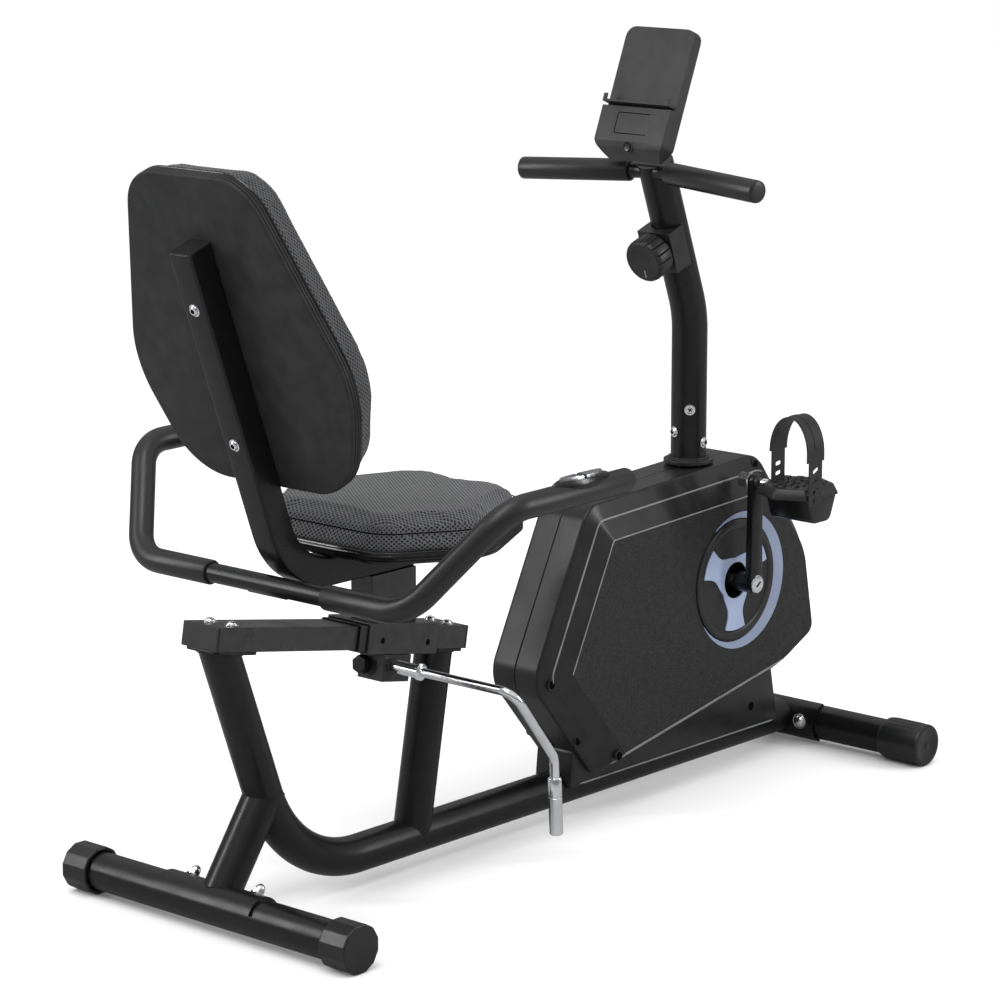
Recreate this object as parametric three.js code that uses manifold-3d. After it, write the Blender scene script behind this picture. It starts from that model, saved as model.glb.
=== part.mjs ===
// Recumbent exercise bike. Millimetres, +Z up, +X towards the console, +Y the rider's left.
// The bike stands on the end caps of its two floor tubes, which touch z = 0.
import * as THREE from 'three';
import Module from 'manifold-3d';
import { mergeVertices } from 'three/addons/utils/BufferGeometryUtils.js';

const wasm = await Module();
wasm.setup();

// ---- driving dimensions -------------------------------------------------------------
const CENTRE_X = 581;            // middle of the overall length, measured from the rear floor tube
const GAP = 0.3;                 // clearance between neighbouring pieces
const WALL = 2;                  // steel tube wall
const TUBE_R = 25;               // 50 mm frame tube
const FLOOR_Z = 30.5;            // floor tube axis height
const HALF_SPAN = 250;           // half length of the floor tubes over their caps
const REAR_X = 0;
const FRONT_X = 1173.5;
const REAR_CAP = 43;             // cap lengths
const FRONT_CAP = 70;
const MAIN_Z = 37.5;             // main tube axis height
const RAIL = { x: -15.6, z: 392.5, slope: 10.26, length: 458, half: 31, height: 30.5 };
const CARRIAGE = { s0: 262, s1: 393, half: 38, over: 5 };
const LEVER = { x: 284, z: 287.5, y: -242, rod: 6, grip: 8.75 };
const BACK = { x: -41.9, z: 846.8, lean: 19.83, tube: 38 };
const BACK_OUTLINE = [[97, -87, 68], [190, 183, 150], [135, 336, 88]];
const SEAT_OUTLINE = [[186, 105, 60], [306, 184, 90], [484, 92, 62]];
const BRACKET_Z = 405;           // underside of the level leg of the seat bracket
const SEAT_Z = 444.6;            // underside of the seat board
const MAST_X = 930.5;
const MAST_R = 22.3;
const POST_BEND_Z = 662;
const POST_LEAN = 20.2;
const CRANK = { x: 966, z: 281.5, length: 147 };
const FLYWHEEL = { x: 745, z: 250, r: 105, half: 14 };
const RIM_Y = 40;                // housing: half width at the rim, the bead and the side panel
const BEAD_Y = 48;
const PANEL_Y = 58;
const HOUSING = [[552, 205, 48], [665, 434, 40], [1034, 452, 45], [1140, 316, 110],
  [1168, 168, 30], [1082, 127, 60], [680, 54, 25]];
// How far in from each of those edges the bead and the side panel begin.
const BEAD_IN = [23, 23, 9, 7, 7, 8, 23];
const PANEL_IN = [52, 52, 19, 14, 14, 17, 52];
const SHELL = 2.5;               // housing wall
const DISC_R = 87.5;
const HUB_HOLE_R = 26;
const CONSOLE = { x: 791.5, z: 911.9, lean: 22, half: 59.4 };

// ---- materials ------------------------------------------------------------------------
const paint = (color, roughness, metalness) => ({ color, roughness, metalness });
const STEEL = paint(0x17181a, 0.32, 0.35);
const PLASTIC = paint(0x1b1c1e, 0.5, 0);
const DARK = paint(0x101112, 0.6, 0);
const FOAM = paint(0x141415, 0.85, 0);
const FABRIC = paint(0x3a3b3d, 0.95, 0);
const CHROME = paint(0xd8dadd, 0.18, 1);
const BARE = paint(0x9a9da1, 0.35, 0.9);
const TRIM = paint(0xaab9d7, 0.45, 0);
const RUBBER = paint(0x0d0d0e, 0.8, 0);

// ---- helpers --------------------------------------------------------------------------
const rad = THREE.MathUtils.degToRad;
const V = (x, y, z) => new THREE.Vector3(x, y, z);
const bike = new THREE.Group();
bike.name = 'recumbent_exercise_bike';
bike.position.x = -CENTRE_X;

function solid(geometry) {
  const g = geometry.clone();
  g.deleteAttribute('normal');
  g.deleteAttribute('uv');
  const m = mergeVertices(g, 1e-4);
  return new wasm.Manifold(new wasm.Mesh({
    numProp: 3,
    vertProperties: new Float32Array(m.attributes.position.array),
    triVerts: new Uint32Array(m.index.array),
  }));
}

function geometryOf(body) {
  const m = body.getMesh();
  const g = new THREE.BufferGeometry();
  g.setAttribute('position', new THREE.BufferAttribute(new Float32Array(m.vertProperties), 3));
  g.setIndex(new THREE.BufferAttribute(new Uint32Array(m.triVerts), 1));
  g.computeVertexNormals();
  return g;
}

function add(name, body, look) {
  const mesh = new THREE.Mesh(geometryOf(body), new THREE.MeshStandardMaterial(look));
  mesh.name = name;
  bike.add(mesh);
  return mesh;
}

// A box given by its two corners.
function box(x0, x1, y0, y1, z0, z1) {
  const g = new THREE.BoxGeometry(x1 - x0, y1 - y0, z1 - z0);
  g.translate((x0 + x1) / 2, (y0 + y1) / 2, (z0 + z1) / 2);
  return solid(g);
}

// A cylinder between two points.
function rod(a, b, r, sides = 20, turn = 0) {
  const axis = b.clone().sub(a);
  const g = new THREE.CylinderGeometry(r, r, axis.length(), sides);
  g.rotateY(turn);
  g.applyQuaternion(new THREE.Quaternion().setFromUnitVectors(V(0, 1, 0), axis.clone().normalize()));
  const mid = a.clone().add(b).multiplyScalar(0.5);
  g.translate(mid.x, mid.y, mid.z);
  return solid(g);
}

// A cylinder along Y, from y0 to y1, with flats facing up and down when sides is a multiple of 4.
function barrel(x, z, y0, y1, r, sides = 20) {
  return rod(V(x, y0, z), V(x, y1, z), r, sides, Math.PI / sides);
}

// A bend line: straight runs between corner points, joined by arcs of the given radius.
class BendLine extends THREE.Curve {
  constructor(corners, radius, steps = 5) {
    super();
    this.knots = [];
    this.tangents = [];
    const put = (p, t) => { this.knots.push(p); this.tangents.push(t.clone().normalize()); };
    put(corners[0].clone(), corners[1].clone().sub(corners[0]));
    for (let i = 1; i < corners.length - 1; i++) {
      const a = corners[i].clone().sub(corners[i - 1]).normalize();
      const b = corners[i + 1].clone().sub(corners[i]).normalize();
      const angle = a.angleTo(b);
      const r = Array.isArray(radius) ? radius[i - 1] : radius;
      const reach = r * Math.tan(angle / 2);
      const start = corners[i].clone().addScaledVector(a, -reach);
      const side = b.clone().addScaledVector(a, -Math.cos(angle)).normalize();
      for (let k = 0; k <= steps; k++) {
        const w = (angle * k) / steps;
        const p = start.clone().addScaledVector(a, r * Math.sin(w));
        p.addScaledVector(side, r * (1 - Math.cos(w)));
        put(p, a.clone().multiplyScalar(Math.cos(w)).addScaledVector(side, Math.sin(w)));
      }
    }
    const n = corners.length;
    put(corners[n - 1].clone(), corners[n - 1].clone().sub(corners[n - 2]));
    this.steps = this.knots.length - 1;
  }

  getPoint(t) {
    const at = Math.min(Math.max(t, 0), 1) * this.steps;
    const i = Math.min(Math.floor(at + 1e-9), this.steps - 1);
    return this.knots[i].clone().lerp(this.knots[i + 1], at - i);
  }

  getPointAt(t) { return this.getPoint(t); }

  getTangent(t) { return this.tangents[Math.min(Math.round(t * this.steps), this.steps)].clone(); }

  getTangentAt(t) { return this.getTangent(t); }
}

function ring(r, sides, hole = 0) {
  const circle = (rr) => Array.from({ length: sides }, (_, i) => {
    const a = (2 * Math.PI * i) / sides;
    return new THREE.Vector2(rr * Math.cos(a), rr * Math.sin(a));
  });
  const shape = new THREE.Shape(circle(r));
  if (hole) shape.holes.push(new THREE.Path(circle(hole)));
  return shape;
}

function rectangle(w, h, t = 0) {
  const corner = (a, b) => [[-a, -b], [a, -b], [a, b], [-a, b]].map(([x, y]) => new THREE.Vector2(x, y));
  const shape = new THREE.Shape(corner(w / 2, h / 2));
  if (t) shape.holes.push(new THREE.Path(corner(w / 2 - t, h / 2 - t)));
  return shape;
}

function sweep(shape, line) {
  return solid(new THREE.ExtrudeGeometry(shape, { steps: line.steps, extrudePath: line }));
}

// A closed outline with every corner [a, b, radius] rounded by the same number of points.
function rounded(corners, steps = 4) {
  const out = [];
  const n = corners.length;
  for (let i = 0; i < n; i++) {
    const p = new THREE.Vector2(corners[i][0], corners[i][1]);
    const a = new THREE.Vector2(...corners[(i + n - 1) % n]).sub(p).normalize();
    const b = new THREE.Vector2(...corners[(i + 1) % n]).sub(p).normalize();
    const half = Math.acos(a.dot(b)) / 2;
    const r = corners[i][2];
    const reach = r / Math.tan(half);
    const middle = a.clone().add(b).normalize().multiplyScalar(r / Math.sin(half)).add(p);
    const from = p.clone().addScaledVector(a, reach).sub(middle);
    const to = p.clone().addScaledVector(b, reach).sub(middle);
    const turn = Math.atan2(from.cross(to), from.dot(to));
    for (let k = 0; k <= steps; k++) {
      out.push(from.clone().rotateAround(new THREE.Vector2(), (turn * k) / steps).add(middle));
    }
  }
  return out;
}

// The same corners moved inward by d, which may hold a distance for each edge.
function inset(corners, d) {
  const n = corners.length;
  const depth = (i) => (Array.isArray(d) ? d[i] : d);
  const sign = Math.sign(THREE.ShapeUtils.area(corners.map(([a, b]) => new THREE.Vector2(a, b))));
  const edge = (i) => {
    const [x0, y0] = corners[i];
    const [x1, y1] = corners[(i + 1) % n];
    const l = Math.hypot(x1 - x0, y1 - y0);
    const nx = (-sign * (y1 - y0)) / l;
    const ny = (sign * (x1 - x0)) / l;
    return [nx, ny, nx * x0 + ny * y0 + depth(i)];
  };
  return corners.map((c, i) => {
    const [a0, b0, c0] = edge((i + n - 1) % n);
    const [a1, b1, c1] = edge(i);
    const det = a0 * b1 - a1 * b0;
    const nearest = Math.min(depth(i), depth((i + n - 1) % n));
    return [(c0 * b1 - c1 * b0) / det, (a0 * c1 - a1 * c0) / det, Math.max(c[2] - nearest, 6)];
  });
}

// A closed body through a stack of outlines that all have the same number of points.
function loft(layers, place) {
  const clockwise = THREE.ShapeUtils.area(layers[0][0]) < 0;
  const outlines = layers.map(([o, level]) => [clockwise ? [...o].reverse() : o, level]);
  const n = outlines[0][0].length;
  const points = [];
  const index = [];
  for (const [outline, level] of outlines) {
    for (const p of outline) points.push(...place(p.x, p.y, level).toArray());
  }
  for (let s = 0; s < outlines.length - 1; s++) {
    for (let i = 0; i < n; i++) {
      const a = s * n + i;
      const b = s * n + ((i + 1) % n);
      index.push(a, b, b + n, a, b + n, a + n);
    }
  }
  const top = (outlines.length - 1) * n;
  for (const [i, j, k] of THREE.ShapeUtils.triangulateShape(outlines[0][0], [])) index.push(k, j, i);
  for (const [i, j, k] of THREE.ShapeUtils.triangulateShape(outlines[outlines.length - 1][0], [])) {
    index.push(top + i, top + j, top + k);
  }
  const g = new THREE.BufferGeometry();
  g.setAttribute('position', new THREE.Float32BufferAttribute(points, 3));
  g.setIndex(index);
  let volume = 0;
  for (let t = 0; t < index.length; t += 3) {
    const [a, b, c] = [0, 1, 2].map((q) => V(...points.slice(3 * index[t + q], 3 * index[t + q] + 3)));
    volume += a.dot(b.cross(c));
  }
  if (volume < 0) {
    for (let t = 0; t < index.length; t += 3) [index[t + 1], index[t + 2]] = [index[t + 2], index[t + 1]];
    g.setIndex(index);
  }
  return solid(g);
}

// A flat outline in the XZ plane, given thickness from y0 to y1.
function slab(points, y0, y1, holes = []) {
  const shape = new THREE.Shape(points);
  for (const h of holes) shape.holes.push(new THREE.Path(h));
  const g = new THREE.ExtrudeGeometry(shape, { depth: y1 - y0, bevelEnabled: false });
  g.rotateX(Math.PI / 2);
  g.translate(0, y1, 0);
  return solid(g);
}

const flip = (body) => body.mirror([0, 1, 0]);

// ---- floor tubes ------------------------------------------------------------------------
const floorTube = (x, sides) => barrel(x, FLOOR_Z, -HALF_SPAN + 3.5, HALF_SPAN - 3.5, TUBE_R, sides)
  .subtract(barrel(x, FLOOR_Z, -HALF_SPAN, HALF_SPAN, TUBE_R - WALL, sides));
const floorCap = (x, length, sides) => barrel(x, FLOOR_Z, -HALF_SPAN, -HALF_SPAN + length,
  FLOOR_Z / Math.cos(Math.PI / sides), sides)
  .subtract(barrel(x, FLOOR_Z, -HALF_SPAN + 3, -HALF_SPAN + length + 1, TUBE_R + 0.65, 24));
add('rear_stabilizer', floorTube(REAR_X, 24), STEEL);
add('rear_cap_right', floorCap(REAR_X, REAR_CAP, 12), RUBBER);
add('rear_cap_left', flip(floorCap(REAR_X, REAR_CAP, 12)), RUBBER);
add('front_stabilizer', floorTube(FRONT_X, 24), STEEL);
add('front_cap_right', floorCap(FRONT_X, FRONT_CAP, 24), RUBBER);
add('front_cap_left', flip(floorCap(FRONT_X, FRONT_CAP, 24)), RUBBER);

// ---- main tube, brace and seat column ------------------------------------------------------
// Points on the rail: s along it from the rear end, n square to it from its top face.
const down = rad(RAIL.slope);
const onRail = (s, n, y = 0) => V(RAIL.x + s * Math.cos(down) + n * Math.sin(down), y,
  RAIL.z - s * Math.sin(down) + n * Math.cos(down));
function railBox(s0, s1, y0, y1, n0, n1) {
  const g = new THREE.BoxGeometry(s1 - s0, y1 - y0, n1 - n0);
  g.rotateY(down);
  const c = onRail((s0 + s1) / 2, (n0 + n1) / 2, (y0 + y1) / 2);
  g.translate(c.x, c.y, c.z);
  return solid(g);
}
const underRail = -RAIL.height - GAP;
const aboveFlange = railBox(-120, 600, -90, 90, underRail - 1, 120);
const mainTop = onRail(36, 2 - RAIL.height);
const mainLine = new BendLine([
  V(mainTop.x - 0.4 * 12, 0, mainTop.z + 12), V(127.5, 0, MAIN_Z), V(FRONT_X, 0, MAIN_Z)], 180, 5);
const mainCore = sweep(ring(TUBE_R + GAP, 20), mainLine);
const frontTube = (r) => barrel(FRONT_X, FLOOR_Z, -120, 120, r, 24);
const frontCradle = barrel(FRONT_X, FLOOR_Z, -66, 66, 28.6, 24)
  .intersect(box(FRONT_X - 40, FRONT_X - 1, -67, 67, 3, 56));
const rearFlange = railBox(4, 76, -28, 28, underRail - 4, underRail);
const mainTube = sweep(ring(TUBE_R, 20, TUBE_R - WALL), mainLine)
  .subtract(aboveFlange)
  .add(frontCradle)
  .add(rearFlange)
  .subtract(frontTube(TUBE_R + 0.6));
add('main_tube', mainTube, STEEL);

const braceFoot = V(REAR_X - 2, 0, FLOOR_Z - 3);
const braceHead = V(92, 0, 163);
const rearCradle = barrel(REAR_X, FLOOR_Z, -84, 84, 28.6, 24).intersect(box(-40, 40, -85, 85, 42, 70));
add('rear_brace', rod(braceFoot, braceHead, TUBE_R, 24)
  .subtract(rod(braceFoot, braceHead.clone().add(V(6, 0, 9)), TUBE_R - WALL, 24))
  .subtract(mainCore)
  .subtract(box(-80, 60, -40, 40, -10, 42))
  .add(rearCradle)
  .subtract(barrel(REAR_X, FLOOR_Z, -120, 120, TUBE_R + 0.6, 24))
  .decompose().sort((a, b) => b.volume() - a.volume())[0], STEEL);

const columnTop = onRail(429, underRail - 2);
const columnFoot = onRail(429, -355);
const frontFlange = railBox(404.5, 456, -28, 28, underRail - 4, underRail);
add('seat_column', rod(columnFoot, columnTop, TUBE_R, 24)
  .subtract(rod(columnFoot, onRail(429, underRail - 3), TUBE_R - WALL, 24))
  .add(frontFlange)
  .subtract(mainCore)
  .decompose().sort((a, b) => b.volume() - a.volume())[0], STEEL);

// ---- seat rail and its carriage ----------------------------------------------------------------
const h = RAIL.half;
add('seat_rail', railBox(3, RAIL.length - 3, -h, h, -RAIL.height, 0)
  .subtract(railBox(0, RAIL.length, -h + WALL, h - WALL, -RAIL.height + WALL, -WALL)), STEEL);
add('rail_cap_rear', railBox(0, 2.7, -h, h, -RAIL.height, 0), PLASTIC);
add('rail_cap_front', railBox(RAIL.length - 2.7, RAIL.length, -h, h, -RAIL.height, 0), PLASTIC);

const c = CARRIAGE;
const lowest = -RAIL.height - c.over;
add('carriage', railBox(c.s0, c.s1, -c.half, c.half, lowest, c.over)
  .subtract(railBox(c.s0 - 1, c.s1 + 1, 3 - c.half, c.half - 3, lowest + 3, c.over - 3)), STEEL);
add('carriage_liner', railBox(c.s0 - 14, c.s1 + 4, 3.3 - c.half, c.half - 3.3, lowest + 3.3, c.over - 3.3)
  .subtract(railBox(c.s0 - 20, c.s1 + 9, -h - GAP, h + GAP, underRail, GAP)), PLASTIC);

const lockTop = lowest - GAP;
const pivot = V(LEVER.x, 0, LEVER.z);
add('lock_block', railBox(294.7, 345, -38, 5, lockTop - 35, lockTop)
  .subtract(rod(V(pivot.x, -50, pivot.z), V(pivot.x, -8, pivot.z), LEVER.rod + 0.4, 16)), PLASTIC);
const knobAt = (s) => onRail(s, lockTop - 17, -6);
add('lock_knob', rod(knobAt(282), knobAt(294.4), 12.5, 6), PLASTIC);

const leverEnd = V(366, LEVER.y, 89.5);
const leverTurn = V(361, LEVER.y, 188.6);
const leverLine = new BendLine([
  V(pivot.x, -12, pivot.z), V(pivot.x, LEVER.y, pivot.z), leverTurn, leverEnd], 22, 4);
const gripTop = leverEnd.clone().lerp(leverTurn, 0.73);
add('seat_lever', sweep(ring(LEVER.rod, 12), leverLine)
  .add(rod(V(pivot.x, -44, pivot.z), V(pivot.x, -82, pivot.z), 9, 16))
  .add(rod(V(pivot.x, -82, pivot.z), V(pivot.x, -87, pivot.z), 11, 16))
  .add(rod(gripTop, leverEnd.clone().add(V(0.15, 0, -3)), LEVER.grip, 16)), CHROME);

// ---- seat and backrest ------------------------------------------------------------------------
const bracketBottom = BRACKET_Z;
const belowPost = railBox(-100, 700, -60, 60, -200, c.over + GAP);
add('seat_post', box(266, 348, -19, 19, 320, bracketBottom - GAP)
  .subtract(box(268, 346, -17, 17, 310, bracketBottom + 9))
  .subtract(belowPost), STEEL);

const lean = rad(BACK.lean);
// Points on the backrest: s down along the bracket from its top, n square to it from its rear face.
const onBack = (s, n, y = 0) => V(BACK.x + s * Math.sin(lean) + n * Math.cos(lean), y,
  BACK.z - s * Math.cos(lean) + n * Math.sin(lean));
const half = BACK.tube / 2;
const bracketTop = onBack(0, half);
const bendZ = bracketBottom + half;
const bendX = bracketTop.x + (bracketTop.z - bendZ) * Math.tan(lean);
const bracketLine = new BendLine([bracketTop, V(bendX, 0, bendZ), V(345, 0, bendZ)], 95, 6);
const barZ = 420.5;
const barX = 100.5;
add('seat_bracket', sweep(rectangle(BACK.tube, BACK.tube, WALL), bracketLine)
  .add(box(97, 141, -34, 34, 407, 413).subtract(rod(V(barX, -40, barZ), V(barX, 40, barZ), 12.9, 24))
    .add(box(137, 152, -17, 17, 407, 420)))
  .subtract(rod(V(barX, -60, barZ), V(barX, 60, barZ), 13, 24)), STEEL);

const outlineBoth = (list) => [...list.map(([a, b, r]) => [a, b, r]),
  ...list.map(([a, b, r]) => [-a, b, r]).reverse()];
const backCorners = outlineBoth(BACK_OUTLINE);
const backAt = (x, y, level) => onBack(y, level, x);
const backFace = BACK.tube + GAP;
add('back_board', loft([[rounded(backCorners), backFace], [rounded(backCorners), backFace + 15]],
  backAt), PLASTIC);
const pad = backFace + 15 + GAP;
add('back_cushion', loft([
  [rounded(inset(backCorners, 5)), pad], [rounded(inset(backCorners, 1)), pad + 14],
  [rounded(inset(backCorners, 2)), pad + 34], [rounded(inset(backCorners, 12)), pad + 45],
  [rounded(inset(backCorners, 38)), pad + 51]], backAt), FABRIC);

const seatCorners = outlineBoth(SEAT_OUTLINE.map(([x, y, r]) => [y, x, r]));
const seatAt = (x, y, level) => V(y, x, level);
add('seat_board', loft([[rounded(seatCorners), SEAT_Z], [rounded(seatCorners), SEAT_Z + 12]],
  seatAt), PLASTIC);
const seatPad = SEAT_Z + 12 + GAP;
add('seat_cushion', loft([
  [rounded(inset(seatCorners, 5)), seatPad], [rounded(inset(seatCorners, 1)), seatPad + 12],
  [rounded(inset(seatCorners, 2)), seatPad + 30], [rounded(inset(seatCorners, 12)), seatPad + 41],
  [rounded(inset(seatCorners, 38)), seatPad + 46]], seatAt), FABRIC);

// ---- grip bar beside the seat -------------------------------------------------------------------
const barPoints = (y) => [V(413, y, 547.9), V(189, y, 545), V(102, y * 0.734, barZ)];
const barCorners = [...barPoints(-316), ...barPoints(316).reverse()];
barCorners[2].x = barX;
barCorners[3].x = barX;
const inner = barCorners.map((p) => p.clone());
inner[0].x -= 4;
inner[5].x -= 4;
add('grip_bar', sweep(ring(12.5, 14, 12.5 - WALL), new BendLine(inner, 60, 3)), STEEL);
const sleeveCorners = [...barCorners.slice(0, 3), V(barX, -100, barZ)];
const sleeveLine = new BendLine(sleeveCorners, 60, 3);
const sleeve = sweep(ring(16, 14, 13.15), sleeveLine)
  .add(rod(barCorners[0], barCorners[0].clone().add(V(-3, 0, -0.04)), 15, 14));
add('grip_sleeve_right', sleeve, FOAM);
add('grip_sleeve_left', flip(sleeve), FOAM);
const sensorFrom = V(275, -316, 545 + 3 * (86 / 232));
const sensorTo = V(370, -316, 545 + 3 * (181 / 232));
const sensor = rod(sensorFrom, sensorTo, 21, 16)
  .subtract(rod(barCorners[1], barCorners[0], 16.8, 16))
  .intersect(box(200, 400, -328, -304, 550, 580));
add('pulse_sensor_right', sensor, DARK);
add('pulse_sensor_left', flip(sensor), DARK);

// ---- mast and front post ----------------------------------------------------------------------
const crankBore = (r) => barrel(CRANK.x, CRANK.z, -80, 80, r, 24);
add('mast', rod(V(MAST_X, 0, 50), V(MAST_X, 0, 560), MAST_R, 24)
  .subtract(rod(V(MAST_X, 0, 40), V(MAST_X, 0, 570), MAST_R - WALL, 24))
  .subtract(mainCore)
  .subtract(crankBore(20.7))
  .subtract(rod(V(MAST_X - 40, 0, 380), V(MAST_X, 0, 400), 5, 12))
  .decompose().sort((a, b) => b.volume() - a.volume())[0], STEEL);

const postLean = rad(POST_LEAN);
// Points on the leaning part of the post: p up along it from the bend, r towards the rider.
const onPost = (p, r, y = 0) => V(MAST_X - p * Math.sin(postLean) - r * Math.cos(postLean), y,
  POST_BEND_Z + p * Math.cos(postLean) - r * Math.sin(postLean));
const faceLean = rad(CONSOLE.lean);
// Points on the console: u up along its face, w square to it, into the case.
const onFace = (u, w, y = 0) => V(CONSOLE.x + u * Math.sin(faceLean) + w * Math.cos(faceLean), y,
  CONSOLE.z + u * Math.cos(faceLean) - w * Math.sin(faceLean));
function faceSlab(profile, y0, y1) {
  return slab(profile.map(([u, w]) => { const p = onFace(u, w); return new THREE.Vector2(p.x, p.z); }),
    y0, y1);
}
const handleMid = V(842, 0, 866.7);
const handleEnd = V(812.6, -204, 858);
const handlePoints = [handleEnd, V(handleMid.x, -20, handleMid.z), V(handleMid.x, 20, handleMid.z),
  V(handleEnd.x, -handleEnd.y, handleEnd.z)];
const handleLine = new BendLine(handlePoints, 40, 3);
const postLine = new BendLine([V(MAST_X, 0, 459.5), V(MAST_X, 0, POST_BEND_Z), onPost(300, 0)], 150, 4);
const behindConsole = faceSlab([[-200, 28 + GAP], [-200, -200], [300, -200], [300, 28 + GAP]], -90, 90);
add('front_post', sweep(ring(TUBE_R, 20, TUBE_R - WALL), postLine)
  .subtract(behindConsole)
  .subtract(sweep(ring(11.8, 12), handleLine))
  .subtract(rod(onPost(112, 0), onPost(112, 40), 3.5, 12))
  .decompose().sort((a, b) => b.volume() - a.volume())[0], STEEL);
add('post_collar', rod(V(MAST_X, 0, 449.6), V(MAST_X, 0, 455.5), 35, 28)
  .add(rod(V(MAST_X, 0, 455), V(MAST_X, 0, 459.2), 29, 28))
  .subtract(rod(V(MAST_X, 0, 440), V(MAST_X, 0, 470), MAST_R + 0.7, 28)), PLASTIC);

// ---- front handlebar and its grips ---------------------------------------------------------------
add('handlebar', sweep(ring(11, 12, 11 - WALL), handleLine), STEEL);
const handleDir = handleEnd.clone().sub(handlePoints[1]).normalize();
const alongHandle = (t) => handlePoints[1].clone().addScaledVector(handleDir, t);
const handleLength = handleEnd.distanceTo(handlePoints[1]);
const handleGrip = rod(alongHandle(14), alongHandle(handleLength + 3), 15.5, 16)
  .subtract(rod(alongHandle(10), alongHandle(handleLength + 0.4), 11.9, 16));
add('handlebar_grip_right', handleGrip, FOAM);
add('handlebar_grip_left', flip(handleGrip), FOAM);

// ---- console ----------------------------------------------------------------------------------
const caseProfile = [[-21, 28], [-21, 24], [-15, 12], [-9, 4], [0, 0], [48, 0], [48, 11], [164, 11],
  [164, 28]];
const front = rounded([[59.4, 164, 15], [59.4, -4, 12], [44, -22, 8], [-44, -22, 8], [-59.4, -4, 12],
  [-59.4, 164, 15]], 4);
const facePlan = loft([[front, -1], [front, 30]], (y, u, w) => onFace(u, w, y));
const ledge = faceSlab([[51.5, -6], [51.5, 12], [55, 12], [55, -6]], -57, 57)
  .add(faceSlab([[54, -6], [54, -3], [63, -3], [63, -6]], -57, -51))
  .add(faceSlab([[54, -6], [54, -3], [63, -3], [63, -6]], 51, 57));
const buttonOut = V(-0.9999, 0, 0.014).normalize();
const buttonAt = onFace(-8, 3);
const along = (t) => buttonAt.clone().addScaledVector(buttonOut, t);
add('console_case', faceSlab(caseProfile, -CONSOLE.half, CONSOLE.half)
  .intersect(facePlan)
  .add(ledge)
  .subtract(rod(along(-6), along(12), 6.7, 20)), PLASTIC);
add('mode_button', rod(along(-3.8), along(2.2), 6, 20), DARK);

// ---- resistance knob, its saddle and cable ----------------------------------------------------------
const saddleBlock = new THREE.BoxGeometry(32, 56, 59);
saddleBlock.rotateY(-postLean);
const saddleMid = onPost(111.5, 21);
saddleBlock.translate(saddleMid.x, 0, saddleMid.z);
add('tension_saddle', solid(saddleBlock)
  .subtract(rod(onPost(0, 0), onPost(200, 0), TUBE_R + 0.6, 24))
  .subtract(rod(onPost(112, 0), onPost(112, 60), 5, 16))
  .decompose().sort((a, b) => b.volume() - a.volume())[0], PLASTIC);
add('tension_knob', rod(onPost(112, 41), onPost(112, 71), 31, 28)
  .add(rod(onPost(112, 37.4), onPost(112, 42), 14, 20))
  .add(rod(onPost(112, 27), onPost(112, 38), 4.4, 16)), DARK);

const magnetPivot = V(856, 0, 300);
const cableLine = new BendLine([onPost(112, 26), onPost(110, 6), onPost(60, 0),
  V(MAST_X, 0, POST_BEND_Z - 10), V(MAST_X, 0, 398), V(858, 0, 364), V(822, 0, 361)], [8, 20, 60, 8, 30], 3);
add('tension_cable', sweep(ring(1.5, 8), cableLine), RUBBER);

// ---- flywheel and magnet brake ---------------------------------------------------------------------
const fw = FLYWHEEL;
const around = (angle, r) => new THREE.Vector2(fw.x + r * Math.cos(rad(angle)),
  fw.z + r * Math.sin(rad(angle)));
const arc = (a0, a1, r, n) => Array.from({ length: n + 1 }, (_, i) => around(a0 + ((a1 - a0) * i) / n, r));
const plate = [new THREE.Vector2(700, 62.9), new THREE.Vector2(850, 62.9), new THREE.Vector2(872, 312),
  new THREE.Vector2(845, 314), new THREE.Vector2(732, 272)];
const pin = barrel(magnetPivot.x, magnetPivot.z, -27, 27, 4, 16);
add('flywheel_fork', slab(plate, -27, -24).add(slab(plate, 24, 27))
  .add(box(702, 850, -27, 27, 62.9, 66))
  .subtract(barrel(fw.x, fw.z, -60, 60, 6.5, 20))
  .add(pin), STEEL);
const arm = [...arc(24, 92, 110, 8), ...arc(92, 24, 120, 8)];
add('magnet_bracket', slab(arm, -17, 17)
  .add(slab(arc(24, 90, 107.5, 8).concat(arc(90, 24, 110.5, 8)), -12, 12))
  .add(barrel(magnetPivot.x, magnetPivot.z, -17, 17, 8, 16))
  .subtract(barrel(magnetPivot.x, magnetPivot.z, -20, 20, 4.4, 16)), BARE);
add('flywheel', barrel(fw.x, fw.z, -fw.half, fw.half, fw.r, 32)
  .subtract(barrel(fw.x, fw.z, -fw.half - 1, -5, fw.r - 22, 28))
  .subtract(barrel(fw.x, fw.z, 5, fw.half + 1, fw.r - 22, 28))
  .add(barrel(fw.x, fw.z, -fw.half, fw.half, 18, 20))
  .subtract(barrel(fw.x, fw.z, -30, 30, 6.5, 20)), BARE);
const beltLeft = 30;
const beltRight = 38;
const smallR = 14;
const largeR = 95;
add('flywheel_axle', barrel(fw.x, fw.z, -33, 42, 6, 20)
  .add(barrel(fw.x, fw.z, beltLeft - 1, beltRight + 1, smallR, 20)), BARE);

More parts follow.
